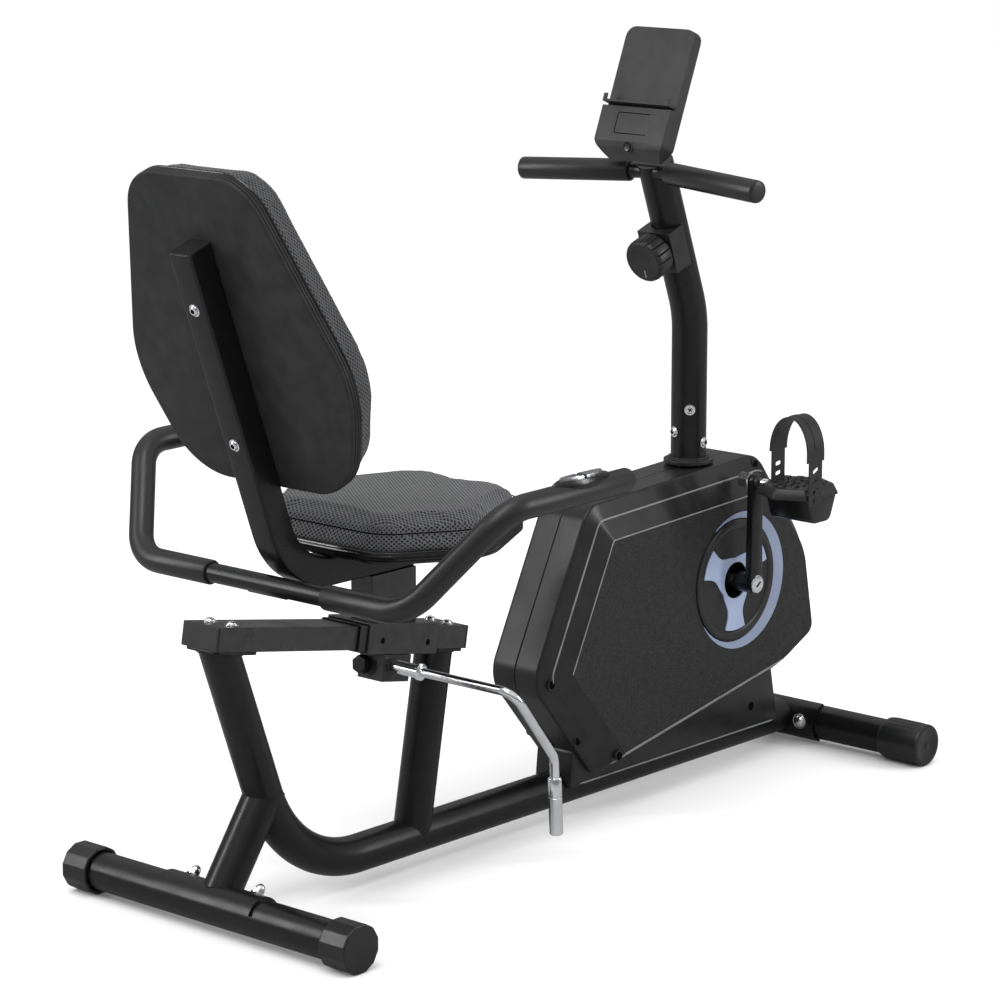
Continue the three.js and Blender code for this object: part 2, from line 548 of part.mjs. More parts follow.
// The belt runs round both pulleys with straight runs between them.
function beltPath(extra) {
  const a = new THREE.Vector2(fw.x, fw.z);
  const b = new THREE.Vector2(CRANK.x, CRANK.z);
  const r0 = smallR + extra;
  const r1 = largeR + extra;
  const base = Math.atan2(b.y - a.y, b.x - a.x);
  const open = Math.acos((r0 - r1) / a.distanceTo(b));
  const at = (m, r, t) => new THREE.Vector2(m.x + r * Math.cos(t), m.y + r * Math.sin(t));
  const out = [];
  for (let i = 0; i <= 20; i++) out.push(at(b, r1, base - open + (2 * open * i) / 20));
  for (let i = 0; i <= 8; i++) out.push(at(a, r0, base + open + ((2 * Math.PI - 2 * open) * i) / 8));
  return out;
}
add('drive_belt', slab(beltPath(3.4), beltLeft, beltRight, [beltPath(1.6)]), RUBBER);

// ---- cranks and pedals -----------------------------------------------------------------------------
const { x: cx, z: cz } = CRANK;
add('bb_shell', barrel(cx, cz, -30, 24, 20, 24).subtract(barrel(cx, cz, -31, 25, 17.9, 24)), STEEL);
add('bb_cartridge', barrel(cx, cz, -29, 23, 17.3, 24).subtract(barrel(cx, cz, -30, 24, 9, 24)), BARE);
add('drive_pulley', barrel(cx, cz, beltLeft, beltRight, largeR, 32)
  .subtract(barrel(cx, cz, 20, beltLeft + 2, largeR - 8, 24))
  .subtract(barrel(cx, cz, beltRight - 2, 50, largeR - 8, 24))
  .add(barrel(cx, cz, 26, 42, 15, 20))
  .subtract(barrel(cx, cz, 20, 50, 9, 24)), PLASTIC);
add('crank_axle', barrel(cx, cz, -94, 94, 8.5, 24), BARE);

const armFrom = 86;
const armTo = 97;
const pedalZ = cz + CRANK.length;
function crankArm() {
  const n = 10;
  const end = (z, r, a0) => Array.from({ length: n + 1 }, (_, i) => {
    const a = rad(a0 + (180 * i) / n);
    return new THREE.Vector2(cx + r * Math.cos(a), z + r * Math.sin(a));
  });
  return slab([...end(pedalZ, 11, 0), ...end(cz, 13.5, 180)], -armTo, -armFrom)
    .add(barrel(cx, cz, -armFrom - 1, -63, 14, 20))
    .subtract(barrel(cx, cz, -94.5, -50, 9, 24))
    .subtract(barrel(cx, pedalZ, -120, -70, 7.4, 16));
}
function pedalSpindle() {
  return barrel(cx, pedalZ, -101, -66.5, 7, 16)
    .add(barrel(cx, pedalZ, -armFrom + GAP, -armFrom + 18.3, 12.4, 6))
    .add(barrel(cx, pedalZ, -102, -armTo - GAP, 11, 16))
    .add(barrel(cx, pedalZ, -196, -100, 6, 16));
}
const at = (x, z) => new THREE.Vector2(cx + x, pedalZ + z);
const TREAD = [[-36, -209, 5], [36, -209, 5], [58, -166, 7], [36, -122, 5], [-36, -122, 5], [-58, -166, 7]];
function pedalBody() {
  const plan = (d) => rounded(inset(TREAD, d), 3);
  const tread = loft([[plan(0), -7.5], [plan(0), -5], [plan(5.5), 8], [plan(6), 11]],
    (x, y, level) => V(cx + x, y, pedalZ + level));
  const weight = [at(-33, -8), at(-21, -42), at(19, -42), at(33, -8), at(30, -6), at(-30, -6)];
  return tread
    .add(slab(weight, -208, -134))
    .subtract(barrel(cx, pedalZ, -198, -100, 6.6, 16));
}
function pedalStrap() {
  const loop = (grow) => Array.from({ length: 17 }, (_, i) => {
    const a = Math.PI * (i / 16);
    return new THREE.Vector2(-180 + (32 + grow) * Math.cos(a), pedalZ + 58 + (49 + grow) * Math.sin(a));
  });
  const inside = loop(-1);
  const outside = loop(1);
  const points = [new THREE.Vector2(-147, pedalZ + 11.4), ...outside,
    new THREE.Vector2(-213, pedalZ - 14), new THREE.Vector2(-211, pedalZ - 14),
    ...inside.reverse(), new THREE.Vector2(-149, pedalZ + 11.4)];
  const g = new THREE.ExtrudeGeometry(new THREE.Shape(points), { depth: 38, bevelEnabled: false });
  g.applyMatrix4(new THREE.Matrix4().makeBasis(V(0, 1, 0), V(0, 0, 1), V(1, 0, 0)));
  g.translate(cx - 42, 0, 0);
  return solid(g);
}
// The left side is the right side turned half a turn about the crank axis and mirrored.
const halfTurn = (body) => flip(body).translate([-cx, 0, -cz]).rotate([0, 180, 0]).translate([cx, 0, cz]);
const dropped = (body) => flip(body).translate([0, 0, -2 * CRANK.length]);
add('crank_right', crankArm(), STEEL);
add('crank_left', halfTurn(crankArm()), STEEL);
add('pedal_spindle_right', pedalSpindle(), CHROME);
add('pedal_spindle_left', dropped(pedalSpindle()), CHROME);
add('pedal_right', pedalBody(), PLASTIC);
add('pedal_left', dropped(pedalBody()), PLASTIC);
add('pedal_strap_right', pedalStrap(), RUBBER);
add('pedal_strap_left', dropped(pedalStrap()), RUBBER);

// ---- housing ---------------------------------------------------------------------------------------
const shellAt = (x, z, level) => V(x, -level, z);
const shape = (d) => rounded(inset(HOUSING, d), 4);
const skirt = [[640, 47], [1106, 43], [1084, 150], [700, 150], [645, 92]]
  .map(([x, z]) => new THREE.Vector2(x, z));
const skirtIn = [[643, 40], [1103, 40], [1081, 147], [703, 147], [648, 91]]
  .map(([x, z]) => new THREE.Vector2(x, z));
function housingShell() {
  const outside = loft([[shape(0), 0], [shape(0), RIM_Y], [shape(BEAD_IN), BEAD_Y],
    [shape(PANEL_IN), PANEL_Y]], shellAt)
    .add(slab(skirt, -32, 0));
  const hollow = loft([[shape(SHELL), -5], [shape(SHELL), RIM_Y - 1],
    [shape(BEAD_IN.map((d) => d + 1)), BEAD_Y - SHELL], [shape(PANEL_IN), PANEL_Y - SHELL]], shellAt)
    .add(slab(skirtIn, -32 + SHELL, 5));
  return outside.subtract(hollow)
    .subtract(box(500, 1300, -100, 100, -10, 40))
    .subtract(rod(V(500, 0, MAIN_Z), V(1300, 0, MAIN_Z), TUBE_R + 0.8, 24))
    .subtract(rod(V(MAST_X, 0, 400), V(MAST_X, 0, 500), MAST_R + 0.9, 24))
    .subtract(barrel(cx, cz, -80, -30, DISC_R + 0.6, 40))
    .translate([0, -GAP / 2, 0])
    .decompose().sort((a, b) => b.volume() - a.volume())[0];
}
add('housing_right', housingShell(), PLASTIC);
add('housing_left', flip(housingShell()), PLASTIC);
const crankDisc = barrel(cx, cz, -60, -55.5, DISC_R, 40).subtract(barrel(cx, cz, -70, -40, HUB_HOLE_R, 28));
add('crank_disc_right', crankDisc, TRIM);
add('crank_disc_left', flip(crankDisc), TRIM);

export default bike;
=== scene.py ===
"""Recumbent exercise bike: its looks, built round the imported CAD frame.

Metres, +X towards the console, +Y the rider's left, +Z up, floor at z = 0.
"""
import math

import bmesh
import bpy
import numpy as np
from mathutils import Matrix, Vector
from mathutils.geometry import tessellate_polygon


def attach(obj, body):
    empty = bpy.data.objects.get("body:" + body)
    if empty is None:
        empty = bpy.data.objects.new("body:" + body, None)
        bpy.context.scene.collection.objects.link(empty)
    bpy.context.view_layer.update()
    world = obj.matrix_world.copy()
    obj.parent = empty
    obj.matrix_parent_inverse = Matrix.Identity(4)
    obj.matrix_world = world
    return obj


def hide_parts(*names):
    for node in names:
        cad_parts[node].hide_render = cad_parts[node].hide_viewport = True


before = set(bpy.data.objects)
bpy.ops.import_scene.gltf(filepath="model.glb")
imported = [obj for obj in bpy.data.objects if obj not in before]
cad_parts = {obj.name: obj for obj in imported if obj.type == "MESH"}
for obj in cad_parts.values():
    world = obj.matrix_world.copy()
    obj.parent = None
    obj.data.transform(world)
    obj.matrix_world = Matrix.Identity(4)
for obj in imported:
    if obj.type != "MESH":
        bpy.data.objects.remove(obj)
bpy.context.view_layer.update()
scene = bpy.context.scene
AXIS_X, AXIS_Y, AXIS_Z = Vector((1, 0, 0)), Vector((0, 1, 0)), Vector((0, 0, 1))

# ---- driving dimensions, from the CAD frame
CENTRE_X = 0.581          # from the rear floor tube's axis to the middle of the bike
TUBE = 0.025
FLOOR_TUBE_Z = 0.0305
HALF_SPAN = 0.250
FRONT_X = 1.1735
MAIN_Z = 0.0375
RAIL_SLOPE = math.radians(10.26)
RAIL_HEIGHT = 0.0305
BACK_LEAN = math.radians(19.83)
BRACKET = 0.038
BRACKET_Z = 0.405
SEAT_Z = 0.4446
BOARD_BACK, BOARD_SEAT = 0.015, 0.012
POST_LEAN = math.radians(20.2)
POST_BEND_Z = 0.662
MAST_X = 0.9305
FACE_LEAN = math.radians(22)
CRANK = (0.966, 0.2815)
CRANK_LENGTH = 0.147
PEDAL_Z = CRANK[1] + CRANK_LENGTH
RIM_Y, BEAD_Y, PANEL_Y = 0.040, 0.048, 0.058
DISC_R = 0.0875
HOUSING = [(0.552, 0.205, 0.048), (0.665, 0.434, 0.040), (1.034, 0.452, 0.045), (1.140, 0.316, 0.110),
           (1.168, 0.168, 0.030), (1.082, 0.127, 0.060), (0.680, 0.054, 0.025)]
# How far in from each of those edges the bead and the side panel begin.
BEAD_IN = [0.023, 0.023, 0.009, 0.007, 0.007, 0.008, 0.023]
PANEL_IN = [0.052, 0.052, 0.019, 0.014, 0.014, 0.017, 0.052]
LEAST_ARC = 0.006         # no outline corner is inset to a tighter arc
SIDES = (-1, "right"), (1, "left")
RIB_TAPER = 0.0003, 0.0011, 0.0011, 0.0003
BACK_OUTLINE = [(0.097, -0.087, 0.068), (0.190, 0.183, 0.150), (0.135, 0.336, 0.088)]
SEAT_OUTLINE = [(0.105, 0.186, 0.060), (0.184, 0.306, 0.090), (0.092, 0.484, 0.062)]


def at(x, y, z):
    """A point with x counted from the rear floor tube's axis."""
    return Vector((x - CENTRE_X, y, z))


def on_rail(s, n, y=0.0):
    """s along the seat rail from its rear end, n square to it from its top face."""
    c, d = math.cos(RAIL_SLOPE), math.sin(RAIL_SLOPE)
    return at(-0.0156 + s * c + n * d, y, 0.3925 - s * d + n * c)


def on_back(s, n, y=0.0):
    """s down the backrest bracket from its top, n forward from its rear face."""
    c, d = math.cos(BACK_LEAN), math.sin(BACK_LEAN)
    return at(-0.0419 + s * d + n * c, y, 0.8468 - s * c + n * d)


def on_post(p, r, y=0.0):
    """p up the leaning post from its bend, r towards the rider from its axis."""
    c, d = math.cos(POST_LEAN), math.sin(POST_LEAN)
    return at(MAST_X - p * d - r * c, y, POST_BEND_Z + p * c - r * d)


def on_face(u, w, y=0.0):
    """u up the console's face, w into its case."""
    c, d = math.cos(FACE_LEAN), math.sin(FACE_LEAN)
    return at(0.7915 + u * d + w * c, y, 0.9119 + u * c - w * d)


# ---- camera
def make_camera():
    """A long lens behind the bike on its right, a little above it."""
    azimuth, elevation = math.radians(-48.477), math.radians(12.122)
    back = Vector((math.sin(azimuth) * math.cos(elevation), -math.cos(azimuth) * math.cos(elevation),
                   math.sin(elevation)))
    data = bpy.data.cameras.new("camera")
    data.lens = 128.363
    data.sensor_width = 36
    camera = bpy.data.objects.new("camera", data)
    camera.location = at(-2.9198, -3.0560, 1.4485)
    camera.rotation_mode = "QUATERNION"
    camera.rotation_quaternion = back.to_track_quat("Z", "Y")
    scene.collection.objects.link(camera)
    scene.camera = camera


make_camera()


# ---- materials
class Look:
    """A Principled material and the nodes that give it its detail."""

    def __init__(self, name, color, roughness, metallic=0.0, specular=0.5):
        self.material = bpy.data.materials.new(name)
        self.material.use_nodes = True
        self.tree = self.material.node_tree
        self.shader = self.tree.nodes["Principled BSDF"]
        self.color = color
        self.shader.inputs["Base Color"].default_value = (*color, 1)
        self.shader.inputs["Roughness"].default_value = roughness
        self.shader.inputs["Metallic"].default_value = metallic
        self.shader.inputs["Specular IOR Level"].default_value = specular
        self.height = None
        self.place = self.node("ShaderNodeTexCoord").outputs["Object"]

    def node(self, kind, **inputs):
        made = self.tree.nodes.new(kind)
        for key, value in inputs.items():
            made.inputs[key.replace("_", " ")].default_value = value
        return made

    def link(self, a, b):
        self.tree.links.new(a, b)

    def math(self, operation, a, b=None):
        made = self.tree.nodes.new("ShaderNodeMath")
        made.operation = operation
        for slot, value in enumerate((a, b)):
            if isinstance(value, (int, float)):
                made.inputs[slot].default_value = value
            elif value is not None:
                self.link(value, made.inputs[slot])
        return made.outputs[0]

    def noise(self, scale, detail=3.0, stretch=None):
        made = self.node("ShaderNodeTexNoise", Scale=scale, Detail=detail)
        source = self.place
        if stretch:
            mapping = self.node("ShaderNodeMapping")
            mapping.inputs["Scale"].default_value = stretch
            self.link(source, mapping.inputs["Vector"])
            source = mapping.outputs["Vector"]
        self.link(source, made.inputs["Vector"])
        return made.outputs["Fac"]

    def cells(self, scale):
        made = self.node("ShaderNodeTexVoronoi", Scale=scale)
        self.link(self.place, made.inputs["Vector"])
        return made.outputs["Distance"]

    def lattice(self, u, v):
        """0 along two sets of crossing diagonals a step apart, 1 in the middle of each cell."""
        a = self.math("SINE", self.math("MULTIPLY", self.math("ADD", u, v), math.pi))
        b = self.math("SINE", self.math("MULTIPLY", self.math("SUBTRACT", u, v), math.pi))
        return self.math("ABSOLUTE", self.math("MULTIPLY", a, b))

    def spread(self, value, low, high, start=0.3, end=0.7):
        made = self.node("ShaderNodeMapRange", From_Min=start, From_Max=end, To_Min=low, To_Max=high)
        self.link(value, made.inputs["Value"])
        return made.outputs["Result"]

    def rough(self, value, low, high, start=0.3, end=0.7):
        self.link(self.spread(value, low, high, start, end), self.shader.inputs["Roughness"])
        return self

    def tint(self, value, dark, light, start=0.3, end=0.7):
        """The colour runs from dark to light shares of the base colour."""
        mix = self.tree.nodes.new("ShaderNodeMix")
        mix.data_type = "RGBA"
        for socket in mix.inputs:
            if socket.name == "A" and socket.type == "RGBA":
                socket.default_value = (*[c * dark for c in self.color], 1)
            if socket.name == "B" and socket.type == "RGBA":
                socket.default_value = (*[c * light for c in self.color], 1)
        self.link(self.spread(value, 0, 1, start, end), mix.inputs["Factor"])
        result = [s for s in mix.outputs if s.type == "RGBA"][0]
        self.link(result, self.shader.inputs["Base Color"])
        return self

    def bump(self, value, distance, strength=1.0):
        made = self.node("ShaderNodeBump", Strength=strength, Distance=distance)
        self.link(value, made.inputs["Height"])
        if self.height is not None:
            self.link(self.height, made.inputs["Normal"])
        self.height = made.outputs["Normal"]
        self.link(self.height, self.shader.inputs["Normal"])
        return self


def powder_coat(name, color, specular=0.4):
    look = Look(name, color, 0.3, specular=specular)
    look.rough(look.noise(25), 0.26, 0.34)
    look.tint(look.noise(60), 0.8, 1.3)
    return look.bump(look.noise(420), 0.00005, 0.5).material


def moulded(name, color, low, high, grain=1500, depth=0.00006, specular=0.4):
    look = Look(name, color, low, specular=specular)
    look.rough(look.noise(18), low, high)
    look.tint(look.noise(40), 0.8, 1.25)
    return look.bump(look.cells(grain), depth, 0.5).material


def stippled():
    look = Look("housing_panel", (0.0165, 0.0167, 0.0170), 0.5, specular=0.3)
    look.tint(look.cells(520), 1.5, 0.55, 0.15, 0.6)
    look.rough(look.noise(90), 0.42, 0.6)
    return look.bump(look.cells(520), 0.00035, 0.7).material


def foam():
    look = Look("foam", (0.0060, 0.0061, 0.0064), 0.4, specular=0.5)
    look.rough(look.noise(30), 0.32, 0.42)
    look.tint(look.noise(700), 0.7, 1.4)
    return look.bump(look.cells(900), 0.0001, 0.5).material


def metal(name, color, low, high, brush=None):
    look = Look(name, color, low, metallic=1.0)
    look.rough(look.noise(220, 4, brush), low, high)
    look.tint(look.noise(35), 0.88, 1.05)
    return look.bump(look.noise(600, 2, brush), 0.00002, 0.4).material


def trim_plastic(name, color):
    look = Look(name, color, 0.4, specular=0.4)
    look.rough(look.noise(30), 0.34, 0.46)
    look.tint(look.noise(24), 0.94, 1.05)
    return look.bump(look.cells(1400), 0.00004, 0.4).material


def dotted():
    """Small round dimples in staggered rows, painted dark inside as painted shade."""
    pitch = 0.0044
    look = Look("dotted_plastic", (0.020, 0.020, 0.021), 0.5, specular=0.3)
    split = look.node("ShaderNodeSeparateXYZ")
    look.link(look.place, split.inputs[0])
    x = look.math("DIVIDE", split.outputs["X"], pitch)
    z = look.math("DIVIDE", split.outputs["Z"], pitch)
    dots = look.lattice(x, z)
    look.tint(dots, 1.3, 0.08, 0.35, 0.55)
    look.rough(look.noise(60), 0.42, 0.55)
    return look.bump(look.spread(dots, 1, 0, 0.3, 0.6), 0.0006, 0.8).material


def air_mesh(name, color):
    """A knitted cover: a lattice of small open cells, read from the cover's own layout in metres."""
    cell_u, cell_v = 0.0072, 0.0054
    look = Look(name, color, 0.85, specular=0.25)
    layout = look.node("ShaderNodeUVMap")
    layout.uv_map = "cover"
    split = look.node("ShaderNodeSeparateXYZ")
    look.link(layout.outputs["UV"], split.inputs[0])
    u = look.math("DIVIDE", split.outputs["X"], cell_u)
    v = look.math("DIVIDE", split.outputs["Y"], cell_v)
    holes = look.lattice(u, v)
    yarn = look.math("SINE", look.math("MULTIPLY", u, 8 * math.pi))
    # The open cells are painted dark, painted shade in the holes, over a random tone from noise.
    painted_cell_shade_and_tone = look.math("ADD", holes, look.math("MULTIPLY", look.noise(160, 4), 0.35))
    look.tint(painted_cell_shade_and_tone, 1.7, 0.10, 0.35, 0.95)
    look.rough(look.noise(400), 0.75, 0.95)
    look.shader.inputs["Sheen Weight"].default_value = 0.12
    look.shader.inputs["Sheen Roughness"].default_value = 0.5
    look.bump(look.spread(holes, 1, 0, 0.3, 0.8), 0.0014, 1.0)
    return look.bump(yarn, 0.00008, 0.4).material


POWDER = powder_coat("powder_coat", (0.0036, 0.0037, 0.0040), 0.34)
RAIL_PAINT = powder_coat("rail_powder_coat", (0.0175, 0.0177, 0.0182), 0.4)
SHELL = moulded("housing_plastic", (0.0105, 0.0106, 0.0109), 0.28, 0.38, specular=0.32)
SATIN = moulded("satin_plastic", (0.010, 0.010, 0.0105), 0.32, 0.46)
BOARD = moulded("board_plastic", (0.0150, 0.0152, 0.0155), 0.46, 0.58, 900, 0.0001, specular=0.2)
GLOSS = moulded("gloss_plastic", (0.004, 0.004, 0.0043), 0.16, 0.24, specular=0.5)
CASE = moulded("console_plastic", (0.0155, 0.0157, 0.0160), 0.36, 0.48, 1800)
# Near-black: painted shade in holes, slots and recesses, and the own dark of the seat's seam thread and the
# console's window line.
LINE = moulded("dark_line", (0.0008, 0.0008, 0.0008), 0.6, 0.7, specular=0.05)
CAP = moulded("end_cap", (0.0080, 0.0081, 0.0083), 0.26, 0.36, specular=0.4)
STRAP = moulded("strap_rubber", (0.0095, 0.0095, 0.010), 0.40, 0.55, 1200, 0.00008)
# Pale: painted highlights along the housing's bead, panel edge, lower band and skirt edge, and the knob's own
# pointer mark.
EDGE_HIGHLIGHT_AND_MARK = moulded("painted_edge_highlight_and_mark", (0.150, 0.152, 0.156), 0.30, 0.42)
PANEL = stippled()
FOAM = foam()
CHROME = metal("chrome", (0.88, 0.89, 0.91), 0.12, 0.24)
STEEL = metal("bare_steel", (0.45, 0.46, 0.48), 0.25, 0.42, (1, 12, 1))
SILVER = metal("sensor_plate", (0.42, 0.43, 0.45), 0.20, 0.34, (1, 14, 1))
TRIM = trim_plastic("pale_trim", (0.24, 0.29, 0.41))
# The crescent is a darker copy of the pale trim; the darkening is in part painted shade.
CRESCENT = trim_plastic("crescent_trim", (0.165, 0.200, 0.285))
DOTS = dotted()
# One knitted fabric in two copies: the seat's painted lighter and the backrest's darker, as painted light and
# shade.
MESH_BACK_SHADED = air_mesh("air_mesh_back_shaded", (0.030, 0.031, 0.033))
MESH_SEAT_LIT = air_mesh("air_mesh_seat_lit", (0.052, 0.053, 0.056))


# ---- shapes
def skin(rings, ends=True):
    """Vertices and faces of the surface through a stack of equal rings."""
    count = len(rings[0])
    verts = [tuple(p) for ring in rings for p in ring]
    faces = []
    for i in range(len(rings) - 1):
        a, b = i * count, (i + 1) * count
        for k in range(count):
            n = (k + 1) % count
            faces.append((a + k, a + n, b + n, b + k))
    if ends:
        faces.append(tuple(reversed(range(count))))
        faces.append(tuple(range(len(verts) - count, len(verts))))
    return verts, faces


def joined(*parts):
    verts, faces = [], []
    for v, f in parts:
        base = len(verts)
        verts += v
        faces += [tuple(base + i for i in face) for face in f]
    return verts, faces


def piece(name, shape, body, look, replaces=(), sharp=32, bevel=0.0):
    """A named mesh riding on a CAD body. Edges past sharp degrees stay crisp, or bevel rounds them."""
    mesh = bpy.data.meshes.new(name)
    verts, faces = shape
    mesh.from_pydata(verts, [], faces)
    mesh.validate()
    mesh.materials.append(look)
    obj = bpy.data.objects.new(name, mesh)
    scene.collection.objects.link(obj)
    turn_outward(mesh)
    mesh.shade_smooth()
    if bevel:
        add_bevel(obj, bevel, sharp)
    else:
        mesh.set_sharp_from_angle(angle=math.radians(sharp))
    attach(obj, body)
    if replaces:
        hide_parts(*replaces)


def turn_outward(mesh):
    """Joins coincident points and turns every face to look out."""
    bm = bmesh.new()
    bm.from_mesh(mesh)
    bmesh.ops.remove_doubles(bm, verts=bm.verts, dist=1e-6)
    bmesh.ops.recalc_face_normals(bm, faces=bm.faces)
    bm.to_mesh(mesh)
    bm.free()


def add_bevel(obj, width, sharp=32, segments=3):
    bevel = obj.modifiers.new("edge", "BEVEL")
    bevel.width = width
    bevel.segments = segments
    bevel.limit_method = "ANGLE"
    bevel.angle_limit = math.radians(sharp)
    bevel.harden_normals = True
    bevel.use_clamp_overlap = True


def refine(look, *nodes, bevel=0.0008, sharp=32):
    """Shows CAD nodes themselves, with clean facets, rounded edges and a real material."""
    for name in nodes:
        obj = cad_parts[name]
        mesh = obj.data
        if "custom_normal" in mesh.attributes:
            mesh.attributes.remove(mesh.attributes["custom_normal"])
        mesh.materials.clear()
        mesh.materials.append(look)
        mesh.shade_smooth()
        weld = obj.modifiers.new("weld", "WELD")
        weld.merge_threshold = 2e-5
        clean = obj.modifiers.new("clean", "DECIMATE")
        clean.decimate_type = "DISSOLVE"
        clean.angle_limit = math.radians(1.0)
        add_bevel(obj, bevel, sharp, 2)


def bend(corners, radii, steps=14):
    """Points and directions along straight runs joined by arcs of the given radii."""
    corners = [Vector(c) for c in corners]
    if not isinstance(radii, (list, tuple)):
        radii = [radii] * (len(corners) - 2)
    line = [(corners[0], (corners[1] - corners[0]).normalized())]
    for i, radius in enumerate(radii, 1):
        a = (corners[i] - corners[i - 1]).normalized()
        b = (corners[i + 1] - corners[i]).normalized()
        angle = a.angle(b)
        start = corners[i] - a * radius * math.tan(angle / 2)
        side = (b - a * math.cos(angle)).normalized()
        for k in range(steps + 1):
            w = angle * k / steps
            point = start + a * radius * math.sin(w) + side * radius * (1 - math.cos(w))
            line.append((point, a * math.cos(w) + side * math.sin(w)))
    line.append((corners[-1], (corners[-1] - corners[-2]).normalized()))
    return line


def circle(radius, sides=40):
    return [(radius * math.cos(2 * math.pi * k / sides), radius * math.sin(2 * math.pi * k / sides))
            for k in range(sides)]


def sweep(line, section, side=AXIS_Y, ends=True):
    """A section carried along a line. section is one outline or, for a taper, one for each point."""
    rings = []
    if abs(side.dot(line[0][1])) > 0.9:
        side = AXIS_Z
    for i, (point, direction) in enumerate(line):
        side = (side - direction * side.dot(direction)).normalized()
        up = direction.cross(side)
        outline = section[i] if isinstance(section[0], list) else section
        rings.append([point + side * a + up * b for a, b in outline])
    return skin(rings, ends)


def basis(axis):
    """The axis at unit length and two directions square to it."""
    axis = Vector(axis).normalized()
    side = axis.orthogonal().normalized()
    return axis, side, axis.cross(side)


def turned(start, axis, profile, sides=40, ribs=None):
    """A turned shape: profile holds (radius, distance along the axis). ribs is (count, depth)."""
    axis, side, up = basis(axis)
    widest = max(radius for radius, _ in profile)
    rings = []
    for radius, along in profile:
        ring = []
        for k in range(sides):
            a = 2 * math.pi * k / sides
            r = radius
            if ribs and radius > 0.95 * widest:
                r -= ribs[1] * (0.5 + 0.5 * math.cos(ribs[0] * a)) ** 24
            ring.append(Vector(start) + axis * along + side * r * math.cos(a) + up * r * math.sin(a))
        rings.append(ring)
    return skin(rings)


def rounded(corners, steps=14):
    """A closed outline whose corners (a, b, radius) are arcs."""
    out = []
    count = len(corners)
    for i, (a, b, radius) in enumerate(corners):
        p = Vector((a, b))
        before = (Vector(corners[i - 1][:2]) - p).normalized()
        after = (Vector(corners[(i + 1) % count][:2]) - p).normalized()
        half = before.angle(after) / 2
        middle = p + (before + after).normalized() * radius / math.sin(half)
        start = p + before * radius / math.tan(half) - middle
        end = p + after * radius / math.tan(half) - middle
        turn = math.atan2(start.x * end.y - start.y * end.x, start.dot(end))
        for k in range(steps + 1):
            w = turn * k / steps
            out.append((middle.x + start.x * math.cos(w) - start.y * math.sin(w),
                        middle.y + start.x * math.sin(w) + start.y * math.cos(w)))
    return out


def inset(corners, d):
    """The same corners moved inward by d, which may hold a distance for each edge."""
    count = len(corners)
    depths = d if isinstance(d, (list, tuple)) else [d] * count
    area = sum(corners[i - 1][0] * corners[i][1] - corners[i][0] * corners[i - 1][1] for i in range(count))
    sign = math.copysign(1, area)

    def edge(i):
        (x0, y0, _), (x1, y1, _) = corners[i], corners[(i + 1) % count]
        length = math.hypot(x1 - x0, y1 - y0)
        nx, ny = -sign * (y1 - y0) / length, sign * (x1 - x0) / length
        return nx, ny, nx * x0 + ny * y0 + depths[i]

    out = []
    for i, corner in enumerate(corners):
        a0, b0, c0 = edge(i - 1)
        a1, b1, c1 = edge(i)
        det = a0 * b1 - a1 * b0
        radius = max(corner[2] - min(depths[i], depths[i - 1]), LEAST_ARC)
        out.append(((c0 * b1 - c1 * b0) / det, (a0 * c1 - a1 * c0) / det, radius))
    return out


def both_sides(half):
    """A whole outline from the half on one side of its middle line."""
    return [*half, *[(-a, b, r) for a, b, r in reversed(half)]]


def stack(corners, layers, place, steps=14):
    """Rings of a rounded outline: layers holds (inset, level), place maps (a, b, level) to a point."""
    return [[place(a, b, level) for a, b in rounded(inset(corners, d), steps)] for d, level in layers]


def oblong(a, b):
    """The corners of a rectangle that reaches a and b from its middle."""
    return [(-a, -b), (a, -b), (a, b), (-a, b)]


def box_shape(lo, hi):
    (x0, y0, z0), (x1, y1, z1) = lo, hi
    return skin([[(x0, y0, z), (x1, y0, z), (x1, y1, z), (x0, y1, z)] for z in (z0, z1)])


def arc(a0, a1, count):
    """Angles in radians from a0 to a1 degrees."""
    return [math.radians(a0 + (a1 - a0) * i / count) for i in range(count + 1)]


# ---- fasteners
def domed_bolt(start, axis, radius, height):
    """A round domed head over a thin washer."""
    washer = turned(start, axis, [(radius * 1.35, 0), (radius * 1.35, height * 0.18), (radius, height * 0.2)])
    dome = [(radius * math.cos(w), height * (0.2 + 0.8 * math.sin(w))) for w in arc(0, 84, 9)]
    return joined(washer, turned(start, axis, [(radius, 0), *dome]))


def acorn_nut(start, axis, radius, height):
    washer = turned(start, axis, [(radius * 1.5, 0), (radius * 1.5, 0.0014), (radius * 1.1, 0.0016)])
    hexagon = turned(start, axis, [(radius * 1.15, 0), (radius * 1.15, height * 0.45),
                                   (radius, height * 0.5)], 6)
    dome = [(radius * math.cos(w), height * (0.45 + 0.55 * math.sin(w))) for w in arc(0, 84, 8)]
    return joined(washer, hexagon, turned(start, axis, [(radius, 0.001), *dome]))


def pan_screw(start, axis, radius, height):
    """A low screw head with a raised rim and a cross recess."""
    axis, side, up = basis(axis)
    head = turned(start, axis, [(radius * 1.3, 0), (radius * 1.3, 0.0008), (radius, 0.001),
                                (radius * 0.98, height * 0.6), (radius * 0.8, height * 0.9),
                                (radius * 0.5, height), (radius * 0.44, height * 0.7)])
    bars = []
    for a, b in ((side, up), (up, side)):
        low, high = ([Vector(start) + axis * h + a * p * radius + b * q * radius
                      for p, q in oblong(0.5, 0.12)]
                     for h in (height * 0.5, height * 1.02))
        bars.append(skin([low, high]))
    return head, joined(*bars)


def screws(name, spots, axis, radius, height, body):
    """Chrome heads and, as a second piece, their cross recesses as near-black bars, painted shade."""
    made = [pan_screw(p, axis, radius, height) for p in spots]
    piece(name, joined(*[m[0] for m in made]), body, CHROME)
    piece(name + "_recess", joined(*[m[1] for m in made]), body, LINE)


